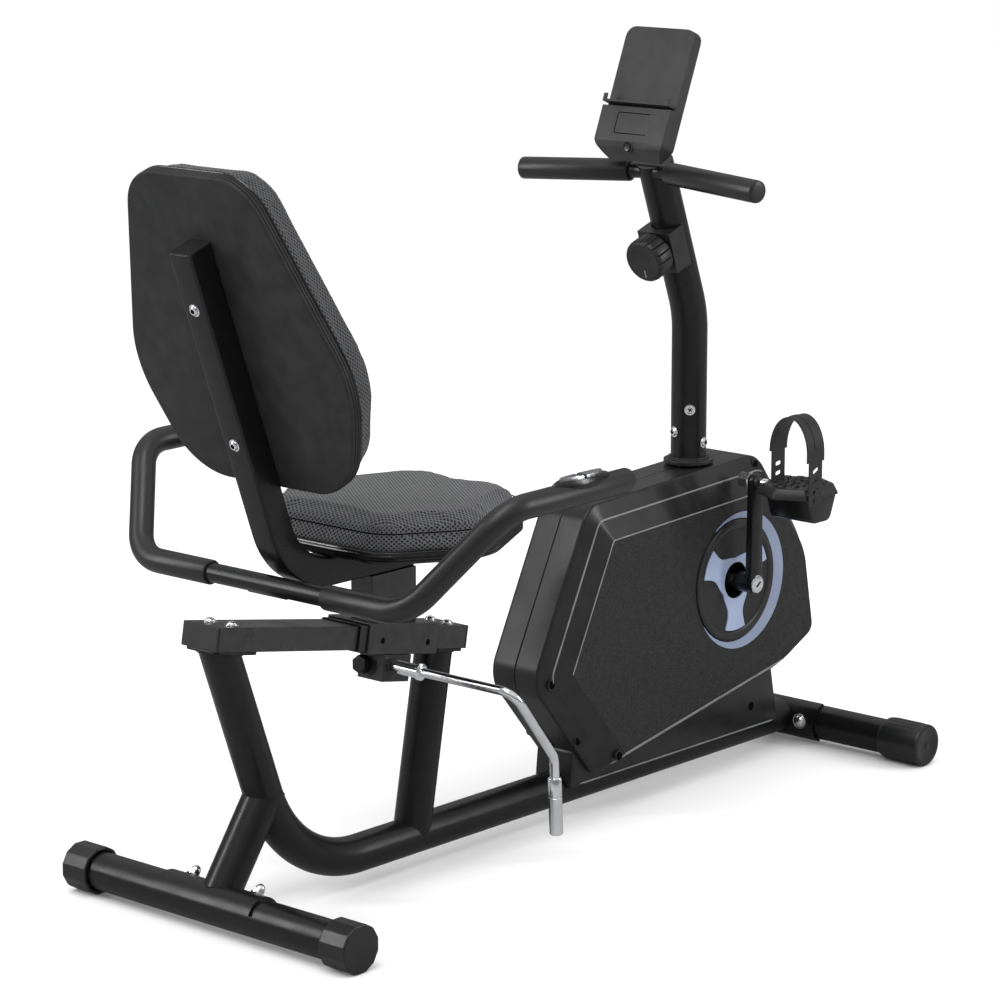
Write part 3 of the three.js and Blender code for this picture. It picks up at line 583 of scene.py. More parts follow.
# ---- floor tubes
def floor_tube(name, x):
    reach = HALF_SPAN - 0.0035
    shape = turned(at(x, -reach, FLOOR_TUBE_Z), AXIS_Y, [(TUBE, 0), (TUBE, 2 * reach)], 48)
    piece(name, shape, "frame", POWDER, [name.replace("_tube", "_stabilizer")])


def cradle(x, a0, a1, half):
    """A curved saddle plate on a floor tube, between two angles."""
    angles = arc(a0, a1, 24)
    outline = [(0.0286 * math.cos(a), 0.0286 * math.sin(a)) for a in angles]
    outline += [(0.0252 * math.cos(a), 0.0252 * math.sin(a)) for a in reversed(angles)]
    return skin([[at(x + a, y, FLOOR_TUBE_Z + b) for a, b in outline] for y in (-half, half)])


floor_tube("rear_tube", 0.0)
floor_tube("front_tube", FRONT_X)
refine(CAP, "rear_cap_right", "rear_cap_left", bevel=0.0022, sharp=25)


def front_cap(side, word):
    """A round end cap with grip ribs above and below and a small boss in the middle of its face."""
    start = at(FRONT_X, side * HALF_SPAN, FLOOR_TUBE_Z)
    inward = Vector((0, -side, 0))
    radius = 0.0302
    profile = [(0.006, 0.0012), (0.020, 0.0012), (0.0215, 0.0004), (radius - 0.0035, 0),
               (radius - 0.001, 0.001), (radius, 0.0035), (radius, 0.062), (radius - 0.0006, 0.066),
               (radius - 0.003, 0.070), (0.0255, 0.070)]
    boss = turned(start + inward * 0.0014, -inward, [(0.0042, 0), (0.0040, 0.0008), (0.0030, 0.0013)])
    name = "front_end_" + word
    piece(name, joined(turned(start, inward, profile, 64), boss), "frame", CAP,
          ["front_cap_" + word])
    ribs = []
    for angle in (60, 75, 90, 105, 120, 240, 255, 270, 285, 300):
        a = math.radians(angle)
        out = Vector((math.cos(a), 0, math.sin(a)))
        middle = start + out * (radius - 0.0006)
        line = [(middle + inward * t, inward) for t in (0.010, 0.012, 0.058, 0.060)]
        ribs.append(sweep(line, [circle(r, 10) for r in RIB_TAPER], out))
    piece(name + "_ribs", joined(*ribs), "frame", CAP)


for side, word in SIDES:
    front_cap(side, word)

# ---- main tube, brace and seat column
under_rail = -RAIL_HEIGHT - 0.0003
main_top = on_rail(0.036, under_rail - 0.002)


def flange(s0, s1):
    """The welded plate between a tube's end and the rail."""
    corners = [(s0, -0.028, 0.004), (s1, -0.028, 0.004), (s1, 0.028, 0.004), (s0, 0.028, 0.004)]
    low, high, edge = under_rail - 0.004, under_rail, 0.0008
    k = edge * 0.3
    layers = [(edge, low), (k, low + k), (0, low + edge), (0, high - edge), (k, high - k), (edge, high)]
    return skin(stack(corners, layers, lambda a, b, n: on_rail(a, n, b), 5))


def weld_bead(start, axis, side, stretch=1.0):
    """A ring of weld with its ripples, longer along side where the tube meets the plate at a slant."""
    width, lumps = 0.0022, 46
    up = axis.cross(side)
    side = side * stretch
    rings = []
    for k in range(lumps * 4):
        a = 2 * math.pi * k / (lumps * 4)
        out = side * math.cos(a) + up * math.sin(a)
        swell = width * (0.85 + 0.15 * abs(math.sin(a * lumps / 2)))
        rings.append([start + out * (TUBE + swell * p) + axis * swell * q for p, q in circle(1, 8)])
    rings.append(rings[0])
    return skin(rings, False)


main_line = bend([main_top + Vector((-0.0048, 0, 0.012)), at(0.1275, 0, MAIN_Z),
                  at(FRONT_X - 0.024, 0, MAIN_Z)], 0.180, 26)
piece("main_beam", joined(sweep(main_line, circle(TUBE, 48)), flange(0.004, 0.076),
                          cradle(FRONT_X, 92, 250, 0.066)), "frame", POWDER, ["main_tube"])

brace_foot, brace_head = at(-0.002, 0, 0.0275), at(0.092, 0, 0.163)
brace_start = brace_foot.lerp(brace_head, 0.12)
piece("brace", joined(sweep([(brace_start, (brace_head - brace_foot).normalized()),
                             (brace_head, (brace_head - brace_foot).normalized())], circle(TUBE, 48)),
                      cradle(0.0, 23.7, 156.3, 0.084)), "frame", POWDER, ["rear_brace"])

column_foot, column_top = on_rail(0.429, -0.278), on_rail(0.429, under_rail - 0.002)
column_axis = (column_top - column_foot).normalized()
piece("column", joined(sweep([(column_foot, column_axis), (column_top, column_axis)], circle(TUBE, 48)),
                       flange(0.4045, 0.456)), "frame", POWDER, ["seat_column"])
rail_up = on_rail(0, 1) - on_rail(0, 0)
rail_along = on_rail(1, 0) - on_rail(0, 0)
welds = [weld_bead(on_rail(0.429, under_rail - 0.0045), rail_up, rail_along),
         weld_bead(on_rail(0.0372, under_rail - 0.0045), rail_up, rail_along, 1.15)]
piece("weld_beads", joined(*welds), "frame", POWDER)

NUT_SPREAD, BOLT_SPREAD, NUT_LIFT = 0.057, 0.043, math.radians(52)
tilt = Vector((math.cos(NUT_LIFT), 0, math.sin(NUT_LIFT)))
nut_seat = at(0, 0, FLOOR_TUBE_Z) + tilt * 0.0284
piece("rear_cradle_nuts", joined(*[acorn_nut(nut_seat + AXIS_Y * y, tilt, 0.0064, 0.0140)
                                   for y in (-NUT_SPREAD, NUT_SPREAD)]), "frame", CHROME)
piece("front_cradle_bolts", joined(*[domed_bolt(at(FRONT_X - 0.0284, y, FLOOR_TUBE_Z + 0.004), -AXIS_X,
                                                0.0085, 0.0065) for y in (-BOLT_SPREAD, BOLT_SPREAD)]),
      "frame", CHROME)

# ---- rail and carriage
refine(RAIL_PAINT, "seat_rail", "carriage", "seat_post", bevel=0.0014)
refine(SATIN, "rail_cap_rear", "rail_cap_front", "carriage_liner", "lock_block", bevel=0.0009)
refine(GLOSS, "lock_knob", bevel=0.0012)
rail_bolts = [(0.030, 0.015), (0.038, -0.015), (0.433, 0.015), (0.433, -0.015)]
piece("rail_bolts", joined(*[domed_bolt(on_rail(s, -0.0002, y), rail_up, 0.0068, 0.0062)
                             for s, y in rail_bolts]), "frame", CHROME)
# Near-black discs on the carriage's side for its holes: painted shade.
holes = []
for s, n in ((0.288, -0.0175), (0.3740, -0.0200)):
    holes.append(turned(on_rail(s, n, -0.0379), -AXIS_Y,
                        [(0.0040, 0), (0.0040, 0.0002), (0.0038, 0.0003)], 28))
piece("carriage_holes", joined(*holes), "seat", LINE)

# ---- seat lever
LEVER_X, LEVER_Z, LEVER_Y, ROD = 0.284, 0.2875, -0.242, 0.006
lever_end = at(0.366, LEVER_Y, 0.0895)
lever_turn = at(0.361, LEVER_Y, 0.1886)
lever_line = bend([at(LEVER_X, -0.012, LEVER_Z), at(LEVER_X, LEVER_Y, LEVER_Z), lever_turn, lever_end],
                  0.022, 14)
lever_grip_top = lever_end.lerp(lever_turn, 0.73)
grip_axis = (lever_end - lever_turn).normalized()
grip_length = (lever_end - lever_grip_top).length + 0.003
collar = turned(at(LEVER_X, -0.044, LEVER_Z), -AXIS_Y,
                [(0.0075, 0), (0.009, 0.0012), (0.009, 0.037), (0.011, 0.0385), (0.011, 0.0425),
                 (0.0095, 0.0435), (0.0062, 0.0438)])
handle = turned(lever_grip_top, grip_axis,
                [(0.0062, -0.001), (0.0080, 0), (0.00875, 0.0015), (0.00875, 0.024), (0.0082, 0.0246),
                 (0.0082, 0.0256), (0.00875, 0.0262), (0.00875, grip_length - 0.0015),
                 (0.0076, grip_length - 0.0002), (0.004, grip_length)])
piece("lever_rod", joined(sweep(lever_line, circle(ROD, 28)), collar, handle), "lever", CHROME,
      ["seat_lever"])


# ---- seat bracket
def square(width, radius, steps=5):
    h = width / 2
    return rounded([(h, -h, radius), (h, h, radius), (-h, h, radius), (-h, -h, radius)], steps)


half = BRACKET / 2
bracket_top = on_back(0.0008, half)
bend_z = BRACKET_Z + half
bend_x = bracket_top.x + CENTRE_X + (bracket_top.z - bend_z) * math.tan(BACK_LEAN)
bracket_line = bend([bracket_top, at(bend_x, 0, bend_z), at(0.345, 0, bend_z)], 0.095, 18)
bar_z, bar_x = 0.4205, 0.1005
saddle_plate = box_shape((0.097 - CENTRE_X, -0.034, 0.407), (0.141 - CENTRE_X, 0.034, 0.4128))
piece("seat_arm", joined(sweep(bracket_line, square(BRACKET - 0.0004, 0.0035)), saddle_plate),
      "seat", POWDER, ["seat_bracket"], bevel=0.0008, sharp=50)
piece("seat_arm_plug", sweep([(on_back(-0.0006, half), on_back(1, 0) - on_back(0, 0)),
                              (on_back(0.001, half), on_back(1, 0) - on_back(0, 0))], square(0.0366, 0.003)),
      "seat", SATIN, bevel=0.0004)
back_out = on_back(0, -1) - on_back(0, 0)
screws("bracket_screws", [on_back(0.0738 + i * 0.184, 0.0002) for i in (0, 1)], back_out,
       0.0062, 0.0042, "seat")


# ---- boards
back_corners, seat_corners = both_sides(BACK_OUTLINE), both_sides(SEAT_OUTLINE)
back_face = BRACKET + 0.0003


def on_back_board(a, b, level):
    return on_back(b, level, a)


def on_seat_board(a, b, level):
    return at(b, a, level)


def rimmed_board(name, corners, low, thick, place, node, look):
    """A moulded board: rounded edges and two fine grooves round its rim."""
    layers = [(0.004, low), (0.0016, low + 0.0006), (0.0003, low + 0.0022), (0, low + 0.0035)]
    for share in (0.42, 0.72):
        z = low + thick * share
        layers += [(0, z - 0.0009), (0.0010, z - 0.0003), (0.0010, z + 0.0003), (0, z + 0.0009)]
    layers += [(0, low + thick - 0.0015), (0.0012, low + thick)]
    piece(name, skin(stack(corners, layers, place, 20)), "seat", look, [node], sharp=50)


rimmed_board("backrest_board", back_corners, back_face, BOARD_BACK, on_back_board, "back_board", BOARD)
rimmed_board("seat_base", seat_corners, SEAT_Z, BOARD_SEAT, on_seat_board, "seat_board", GLOSS)


# ---- cushions
def outline_lengths(points):
    """The closed outline and the run up to each of its points."""
    loop = np.array(points + [points[0]])
    steps = np.linalg.norm(np.diff(loop, axis=0), axis=1)
    return loop, np.concatenate([[0], np.cumsum(steps)])


def to_outline(point, starts, spans):
    """How far a point is from each run of an outline."""
    offset = point - starts
    t = np.clip((offset * spans).sum(1) / (spans ** 2).sum(1), 0, 1)
    return np.linalg.norm(offset - spans * t[:, None], axis=1)


def lay_cover(mesh, corners, thick):
    """Writes the cover's own layout as a UV map in metres: round the side wall, and flat over the top."""
    loop, run = outline_lengths(rounded(corners, 16))
    starts, spans = loop[:-1], np.diff(loop, axis=0)
    co = np.array([v.co for v in mesh.vertices])
    layer = mesh.uv_layers.new(name="cover")
    values = np.zeros((len(mesh.loops), 2), np.float32)
    for face in mesh.polygons:
        c, n = face.center, face.normal
        if abs(n.z) < 0.62 and c.z < thick:
            nearest = int(np.argmin(to_outline(np.array([c.x, c.y]), starts, spans)))
            along = spans[nearest] / np.linalg.norm(spans[nearest])
            for i in face.loop_indices:
                p = co[mesh.loops[i].vertex_index]
                values[i] = (run[nearest] + (p[:2] - starts[nearest]) @ along, p[2])
        else:
            for i in face.loop_indices:
                values[i] = co[mesh.loops[i].vertex_index][:2]
    layer.data.foreach_set("uv", values.ravel())


SWELL_STEPS, SWELL_REACH, PAD_GRID = 20, 0.006, 0.005


def cushion(name, corners, thick, place, node, look, crown, seam_level):
    """A foam pad under a mesh cover, swelled as cloth from a slightly smaller form."""
    layers = [(0.008, 0.0), (0.0055, 0.006), (0.0050, thick * 0.30), (0.0055, thick * 0.62),
              (0.011, thick * 0.80), (0.020, thick * 0.885), (0.045, thick * 0.92)]
    rings = stack(corners, layers, lambda a, b, level: Vector((a, b, level)), 14)
    mesh = bpy.data.meshes.new(name)
    verts, faces = skin(rings)
    mesh.from_pydata(verts, [], faces)
    turn_outward(mesh)
    mesh.materials.append(look)
    pad = bpy.data.objects.new(name, mesh)
    scene.collection.objects.link(pad)
    remesh = pad.modifiers.new("remesh", "REMESH")
    remesh.mode = "VOXEL"
    remesh.voxel_size = PAD_GRID
    apply_modifiers(pad)
    before = np.array([v.co for v in pad.data.vertices])
    swell(pad, before)
    shape_cover(pad, corners, thick, crown, seam_level)
    smooth = pad.modifiers.new("smooth", "SUBSURF")
    smooth.levels = smooth.render_levels = 1
    apply_modifiers(pad)
    lay_cover(pad.data, corners, thick * 0.9)
    for v in pad.data.vertices:
        v.co = place(*v.co)
    pad.data.update()
    turn_outward(pad.data)
    pad.data.shade_smooth()
    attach(pad, "seat")
    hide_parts(node)


def apply_modifiers(obj):
    """Gives the object the mesh that its modifiers make."""
    graph = bpy.context.evaluated_depsgraph_get()
    done = bpy.data.meshes.new_from_object(obj.evaluated_get(graph), depsgraph=graph)
    old = obj.data
    obj.modifiers.clear()
    obj.data = done
    bpy.data.meshes.remove(old)


def swell(pad, before):
    """Blows the pad up a little as cloth, its underside held, and caps how far a point moves."""
    held = pad.vertex_groups.new(name="held")
    held.add([i for i, p in enumerate(before) if p[2] < 0.004], 1.0, "REPLACE")
    cloth = pad.modifiers.new("cloth", "CLOTH")
    cloth.settings.use_pressure = True
    cloth.settings.uniform_pressure_force = 4
    cloth.settings.effector_weights.gravity = 0
    cloth.settings.vertex_group_mass = "held"
    cloth.settings.quality = 4
    cloth.point_cache.frame_start = 1
    cloth.point_cache.frame_end = SWELL_STEPS
    for step in range(1, SWELL_STEPS + 1):
        scene.frame_set(step)
    apply_modifiers(pad)
    after = np.array([v.co for v in pad.data.vertices])
    moved = after - before
    length = np.linalg.norm(moved, axis=1, keepdims=True)
    capped = before + moved * np.minimum(1, SWELL_REACH / np.maximum(length, 1e-9))
    pad.data.vertices.foreach_set("co", capped.astype(np.float32).ravel())
    pad.data.update()
    scene.frame_set(1)


def shape_cover(pad, corners, thick, crown, seam_level):
    """Crowns the top towards the middle and pulls the cover in along its side seam."""
    co = np.array([v.co for v in pad.data.vertices])
    loop, _ = outline_lengths(rounded(corners, 8))
    starts, spans = loop[:-1], np.diff(loop, axis=0)
    centre = loop[:-1].mean(0)
    for i, p in enumerate(co):
        edge = to_outline(p[:2], starts, spans).min()
        if p[2] > thick * 0.5:
            co[i][2] += crown * (1 - math.exp(-edge / 0.05)) * (p[2] / thick)
        pull = 0.0030 * math.exp(-((p[2] - seam_level) / 0.0032) ** 2) * math.exp(-(edge / 0.02) ** 2)
        inward = centre - p[:2]
        co[i][:2] += inward / max(np.linalg.norm(inward), 1e-6) * pull
        co[i][2] = min(max(co[i][2], 0.0), thick)
    pad.data.vertices.foreach_set("co", co.astype(np.float32).ravel())
    pad.data.update()


def welt(name, corners, d, level, radius, place, look):
    """A piped seam round a pad."""
    outline = [place(a, b, level) for a, b in rounded(inset(corners, d), 16)]
    rings = []
    count = len(outline)
    normal = (place(0, 0, 1) - place(0, 0, 0)).normalized()
    for i in range(count + 1):
        p = outline[i % count]
        direction = (outline[(i + 1) % count] - outline[i % count - 1]).normalized()
        out = direction.cross(normal)
        rings.append([p + out * a + normal * b for a, b in circle(radius, 10)])
    piece(name, skin(rings, False), "seat", look)


back_pad_base = back_face + BOARD_BACK + 0.0003
seat_pad_base = SEAT_Z + BOARD_SEAT + 0.0003
BACK_THICK, SEAT_THICK, CROWN, SEAT_SEAM = 0.051, 0.046, 0.004, 0.026


def on_back_pad(a, b, level):
    return on_back(b, back_pad_base + level, a)


def on_seat_pad(a, b, level):
    return at(b, a, seat_pad_base + level)


cushion("backrest_pad", back_corners, BACK_THICK, on_back_pad, "back_cushion", MESH_BACK_SHADED, CROWN, 0.030)
cushion("seat_pad", seat_corners, SEAT_THICK, on_seat_pad, "seat_cushion", MESH_SEAT_LIT, CROWN, SEAT_SEAM)
welt("backrest_welt", back_corners, 0.0022, 0.0014, 0.0022, on_back_pad, GLOSS)
welt("seat_welt", seat_corners, 0.0022, 0.0014, 0.0022, on_seat_pad, GLOSS)
welt("seat_seam", seat_corners, 0.0046, SEAT_SEAM, 0.0009, on_seat_pad, LINE)

# ---- grip bar beside the seat
SLEEVE = 0.016
GRIP_BEND = 0.060


def bar_corners(side):
    return [at(0.413, side * 0.316, 0.5479), at(0.189, side * 0.316, 0.545), at(bar_x, side * 0.232, bar_z)]


ends = bar_corners(-1), bar_corners(1)
whole = [*ends[0], *reversed(ends[1])]
whole[0] = whole[0] - AXIS_X * 0.004
whole[-1] = whole[-1] - AXIS_X * 0.004
piece("grip_tube", sweep(bend(whole, GRIP_BEND, 16), circle(0.0125, 36)), "seat", POWDER,
      ["grip_bar"])


def grip_sleeve(side, word):
    corners = [*bar_corners(side), at(bar_x, side * 0.100, bar_z)]
    line = bend(corners, GRIP_BEND, 18)
    tip, back_in = corners[0], (corners[1] - corners[0]).normalized()
    start = [(tip + back_in * t, back_in) for t in (-0.0002, 0.0004, 0.002, 0.0045)]
    sizes = [0.0095, 0.0128, 0.0152, SLEEVE]
    line = start + line[1:-1]
    last, way = corners[-1], (corners[-1] - corners[-2]).normalized()
    line += [(last - way * t, way) for t in (0.0025, 0.0008, 0.0)]
    radii = sizes + [SLEEVE] * (len(line) - len(sizes) - 2) + [SLEEVE - 0.0006, SLEEVE - 0.0022]
    piece("seat_grip_" + word, sweep(line, [circle(r, 40) for r in radii]), "seat", FOAM,
          ["grip_sleeve_" + word])


def pulse_pad(side, word):
    """A leaf-shaped sensor housing on the sleeve, with two metal plates and the housing showing between them.
    """
    start, end = bar_corners(side)[1], bar_corners(side)[0]
    along = (end - start).normalized()
    up = Vector((-along.z, 0, along.x))
    middle = start + along * (0.3225 - 0.189) + up * SLEEVE
    length, width = 0.046, 0.0125

    def taper(x):
        return 1 - 0.35 * max(0, -x) ** 2

    def leaf(scale, lift):
        ring = []
        for k in range(56):
            a = 2 * math.pi * k / 56
            x = math.cos(a)
            ring.append(middle + along * x * length * scale + up * lift
                        + AXIS_Y * math.sin(a) * width * scale ** 0.8 * taper(x))
        return ring

    base = skin([leaf(0.90, -0.0160), leaf(1.16, -0.0120), leaf(1.24, -0.0060), leaf(1.16, -0.0005),
                 leaf(1.05, 0.0026), leaf(0.98, 0.0036), leaf(0.94, 0.0030)])
    piece("pulse_pad_" + word, base, "seat", GLOSS, ["pulse_sensor_" + word], sharp=45)
    plates = []
    for end_sign in (-1, 1):
        ring_low, ring_high, ring_top = [], [], []
        for k in range(32):
            a = -math.pi / 2 + math.pi * k / 31
            x = end_sign * (0.0026 + (length * 0.86 - 0.0026) * math.cos(a))
            y = width * 0.68 * math.sin(a) * taper(x / length)
            spot = middle + along * x + AXIS_Y * y
            arch = 0.0012 * (1 - (y / width) ** 2)
            ring_low.append(spot + up * 0.0020)
            ring_high.append(spot + up * (0.0042 + arch))
            ring_top.append(middle + along * (x * 0.95 + end_sign * 0.0008) + AXIS_Y * y * 0.88
                            + up * (0.0056 + 1.6 * arch))
        plates.append(skin([ring_low, ring_high, ring_top]))
    piece("pulse_pad_" + word + "_plates", joined(*plates), "seat", SILVER, sharp=45)


for side, word in SIDES:
    grip_sleeve(side, word)
    pulse_pad(side, word)

# ---- mast, post and handlebar
refine(POWDER, "mast", "bb_shell", "flywheel_fork", bevel=0.0006)
refine(SATIN, "post_collar", bevel=0.0012)
post_line = bend([at(MAST_X, 0, 0.4595), at(MAST_X, 0, POST_BEND_Z), on_post(0.232, 0)], 0.150, 20)
post_line[0] = (at(MAST_X, 0, 0.4595), AXIS_Z)
piece("post_tube", sweep(post_line, circle(TUBE, 48)), "frame", POWDER, ["front_post"])

handle_mid = at(0.842, 0, 0.8667)
handle_end = at(0.8126, -0.204, 0.858)
mirror_y = Matrix.Diagonal((1, -1, 1))
HANDLE_STRAIGHT = AXIS_Y * 0.020
handle_line = bend([handle_end, handle_mid - HANDLE_STRAIGHT, handle_mid + HANDLE_STRAIGHT,
                    mirror_y @ handle_end], 0.040, 12)
piece("handle_tube", sweep(handle_line, circle(0.011, 32)), "frame", POWDER, ["handlebar"])


def handle_grip(side, word):
    inner = handle_mid + HANDLE_STRAIGHT * side
    outer = handle_end if side < 0 else mirror_y @ handle_end
    way = (outer - inner).normalized()
    length = (outer - inner).length + 0.003
    profile = [(0.0125, 0.0135), (0.0148, 0.0140), (0.0155, 0.0155), (0.0155, length - 0.0045),
               (0.0149, length - 0.0020), (0.0132, length - 0.0006), (0.0100, length),
               (0.0060, length + 0.0002)]
    piece("handle_grip_" + word, turned(inner, way, profile, 40), "frame", FOAM,
          ["handlebar_grip_" + word])


for side, word in SIDES:
    handle_grip(side, word)
for word, (x, y, z), way in (("front", (-0.0185, -0.0165, 0.528), (-0.75, -0.66, 0)),
                             ("side", (0.002, -0.0249, 0.480), (0.05, -1, 0)),
                             ("rear", (-0.0245, 0.006, 0.495), (-1, 0.2, 0))):
    screws("post_screw_" + word, [at(MAST_X + x, y, z)], way, 0.0058, 0.004, "frame")

# ---- console
refine(CASE, "console_case", bevel=0.0016, sharp=28)
refine(SATIN, "tension_saddle", bevel=0.0020)


def face_stroke(points, width, height):
    """A thin raised line on the console's lower face, through (u, y) points."""
    parts = []
    for (u0, y0), (u1, y1) in zip(points, points[1:]):
        du, dy = u1 - u0, y1 - y0
        length = math.hypot(du, dy)
        nu, ny = -dy / length * width / 2, du / length * width / 2
        corners = [(u0 + nu, y0 + ny), (u1 + nu, y1 + ny), (u1 - nu, y1 - ny), (u0 - nu, y0 - ny)]
        parts.append(skin([[on_face(u, w, y) for u, y in corners] for w in (0.0001, -height)]))
    return joined(*parts)


window = [(0.0390, -0.027), (0.0390, 0.026), (0.0370, 0.028), (0.0120, 0.028), (0.0100, 0.026),
          (0.0100, -0.027)]
piece("console_window", face_stroke(window, 0.0011, 0.0003), "frame", LINE)

button_axis = Vector((-0.9999, 0, 0.014))
button_base = on_face(-0.008, 0.003)
cap = [(0.0060, -0.0036), (0.0060, 0.0008), (0.0057, 0.0017), (0.0050, 0.0021), (0.0030, 0.0019)]
piece("button_cap", turned(button_base, button_axis, cap), "button", GLOSS, ["mode_button"])
ring = [(0.0068, -0.003), (0.0068, 0.0006), (0.0072, 0.0010), (0.0080, 0.0010), (0.0084, 0.0004),
        (0.0084, -0.003)]
ring_shape = turned(button_base, button_axis, ring)
piece("button_ring", (ring_shape[0], ring_shape[1][:-2]), "frame", CASE)

# ---- resistance knob
knob_start = on_post(0.112, 0.0374)
knob_axis = on_post(0, 1) - on_post(0, 0)
knob_profile = [(0.010, -0.010), (0.0135, 0), (0.014, 0.0015), (0.014, 0.0036), (0.0285, 0.0040),
                (0.0305, 0.0052), (0.0310, 0.0075), (0.0310, 0.0270), (0.0302, 0.0300), (0.0284, 0.0322),
                (0.0262, 0.0332), (0.0254, 0.0330), (0.0100, 0.0330), (0.0030, 0.0330)]
piece("knob_body", turned(knob_start, knob_axis, knob_profile, 320, (16, 0.0024)), "knob", SATIN,
      ["tension_knob"], sharp=40)
pointer = [knob_start + knob_axis * 0.0329 + AXIS_Y * a + (knob_axis.cross(AXIS_Y)) * b
           for a, b in ((-0.0009, 0.012), (0.0009, 0.012), (0.0009, 0.023), (-0.0009, 0.023))]
piece("knob_mark", skin([pointer, [p + knob_axis * 0.0004 for p in pointer]]), "knob", EDGE_HIGHLIGHT_AND_MARK)

# ---- drive, flywheel and brake, inside the housing
refine(STEEL, "flywheel", "flywheel_axle", "magnet_bracket", "bb_cartridge", "crank_axle", bevel=0.0006)
refine(SATIN, "drive_pulley", bevel=0.0006)
refine(STRAP, "drive_belt", "tension_cable", bevel=0.0003)


# ---- cranks
def mirrored_crank(p):
    """The left side: half a turn about the crank axis, seen in the mirror of the middle plane."""
    centre = at(CRANK[0], 0, CRANK[1])
    return Vector((2 * centre.x - p.x, -p.y, 2 * centre.z - p.z))


def lowered(p):
    """The left pedal hangs level, one crank circle below the right one."""
    return Vector((p.x, -p.y, p.z - 2 * CRANK_LENGTH))


def moved(shape, way):
    return [tuple(way(Vector(v))) for v in shape[0]], shape[1]


ARM_IN, ARM_OUT = 0.086, 0.097


def crank_arm():
    outline = [(CRANK[0] + 0.011 * math.cos(a), PEDAL_Z + 0.011 * math.sin(a)) for a in arc(0, 180, 20)]
    outline += [(CRANK[0] + 0.0135 * math.cos(a), CRANK[1] + 0.0135 * math.sin(a)) for a in arc(180, 360, 20)]
    rings = []
    for grow, y in ((-0.0016, ARM_IN), (-0.0004, ARM_IN + 0.0005), (0, ARM_IN + 0.0017),
                    (0, ARM_OUT - 0.0017), (-0.0004, ARM_OUT - 0.0005), (-0.0016, ARM_OUT)):
        ring = []
        for x, z in outline:
            base = min(max(z, CRANK[1]), PEDAL_Z)
            out = Vector((x - CRANK[0], z - base))
            out = out * (1 + grow / max(out.length, 1e-6))
            ring.append(at(CRANK[0] + out.x, -y, base + out.y))
        rings.append(ring)
    boss = turned(at(CRANK[0], -ARM_IN - 0.001, CRANK[1]), AXIS_Y,
                  [(0.014, 0), (0.014, 0.0195), (0.0132, 0.0235), (0.0118, 0.024)])
    return joined(skin(rings), boss)


def crank_cap():
    start = at(CRANK[0], -ARM_OUT + 0.0004, CRANK[1])
    return turned(start, -AXIS_Y, [(0.0128, 0), (0.0128, 0.0016), (0.0120, 0.0026), (0.0095, 0.0033),
                                   (0.004, 0.0035)])


# The cap's slot is a near-black bar on the cap: painted shade.
def crank_cap_slot():
    start = at(CRANK[0], -ARM_OUT - 0.0030, CRANK[1])
    c, d = math.cos(math.radians(35)), math.sin(math.radians(35))
    a, b = Vector((c, 0, d)), Vector((-d, 0, c))
    return skin([[start + a * p + b * q - AXIS_Y * h for p, q in oblong(0.0052, 0.0009)] for h in (0, 0.0008)])


def spindle():
    start = at(CRANK[0], -0.0667, PEDAL_Z)
    thread = turned(start, -AXIS_Y, [(0.0045, 0), (0.0068, 0.0012), (0.0068, 0.034)])
    nut = turned(at(CRANK[0], -0.0679, PEDAL_Z), -AXIS_Y,
                 [(0.0108, 0), (0.0124, 0.0014), (0.0124, 0.0166), (0.0108, 0.0180)], 6)
    shaft = turned(at(CRANK[0], -0.100, PEDAL_Z), -AXIS_Y, [(0.006, 0), (0.006, 0.095), (0.005, 0.096)])
    return joined(thread, nut, shaft)


def spindle_collar():
    return turned(at(CRANK[0], -ARM_OUT - 0.0002, PEDAL_Z), -AXIS_Y,
                  [(0.0100, 0), (0.0110, 0.0006), (0.0110, 0.0046), (0.0080, 0.0052)])


for word, way, level in (("right", lambda p: p, lambda p: p), ("left", mirrored_crank, lowered)):
    piece("crank_arm_" + word, moved(crank_arm(), way), "cranks", POWDER, ["crank_" + word])
    piece("crank_bolt_" + word, moved(crank_cap(), way), "cranks", CHROME)
    piece("crank_slot_" + word, moved(crank_cap_slot(), way), "cranks", LINE)
    piece("spindle_" + word, moved(spindle(), level), "cranks", CHROME, ["pedal_spindle_" + word])
    piece("spindle_collar_" + word, moved(spindle_collar(), level), "cranks", SATIN)


# ---- pedals
def pedal_at(a, b, h):
    """a fore and aft of the spindle, b across the bike, h above the spindle."""
    return at(CRANK[0] + a, b, PEDAL_Z + h)


TREAD = [(-0.036, -0.209, 0.005), (0.036, -0.209, 0.005), (0.058, -0.166, 0.007), (0.036, -0.122, 0.005),
         (-0.036, -0.122, 0.005), (-0.058, -0.166, 0.007)]


def pedal_tread():
    """A six-sided platform with sloping sides and rows of slanted lugs."""
    layers = [(0.0030, -0.0074), (0.0006, -0.0072), (0, -0.0064), (0, -0.0050), (0.0052, 0.0068),
              (0.0062, 0.0078), (0.0080, 0.0082)]
    parts = [skin(stack(TREAD, layers, pedal_at, 6))]
    lug_a, lug_b, slant = 0.0070, 0.0062, 0.0030
    for row in range(5):
        b = -0.1345 - row * 0.0155
        reach = 0.046 - 0.55 * abs(b + 0.1655)
        for col in range(-3, 4):
            a = col * 0.0178 + (0.0089 if row % 2 else 0)
            if abs(a) + lug_a > reach:
                continue
            corners = [(a - lug_a - slant, b - lug_b, 0.002), (a + lug_a - slant, b - lug_b, 0.002),
                       (a + lug_a + slant, b + lug_b, 0.002), (a - lug_a + slant, b + lug_b, 0.002)]
            parts.append(skin(stack(corners, [(0, 0.0070), (0.0008, 0.0104), (0.0020, 0.0112)], pedal_at, 4)))
    return joined(*parts)


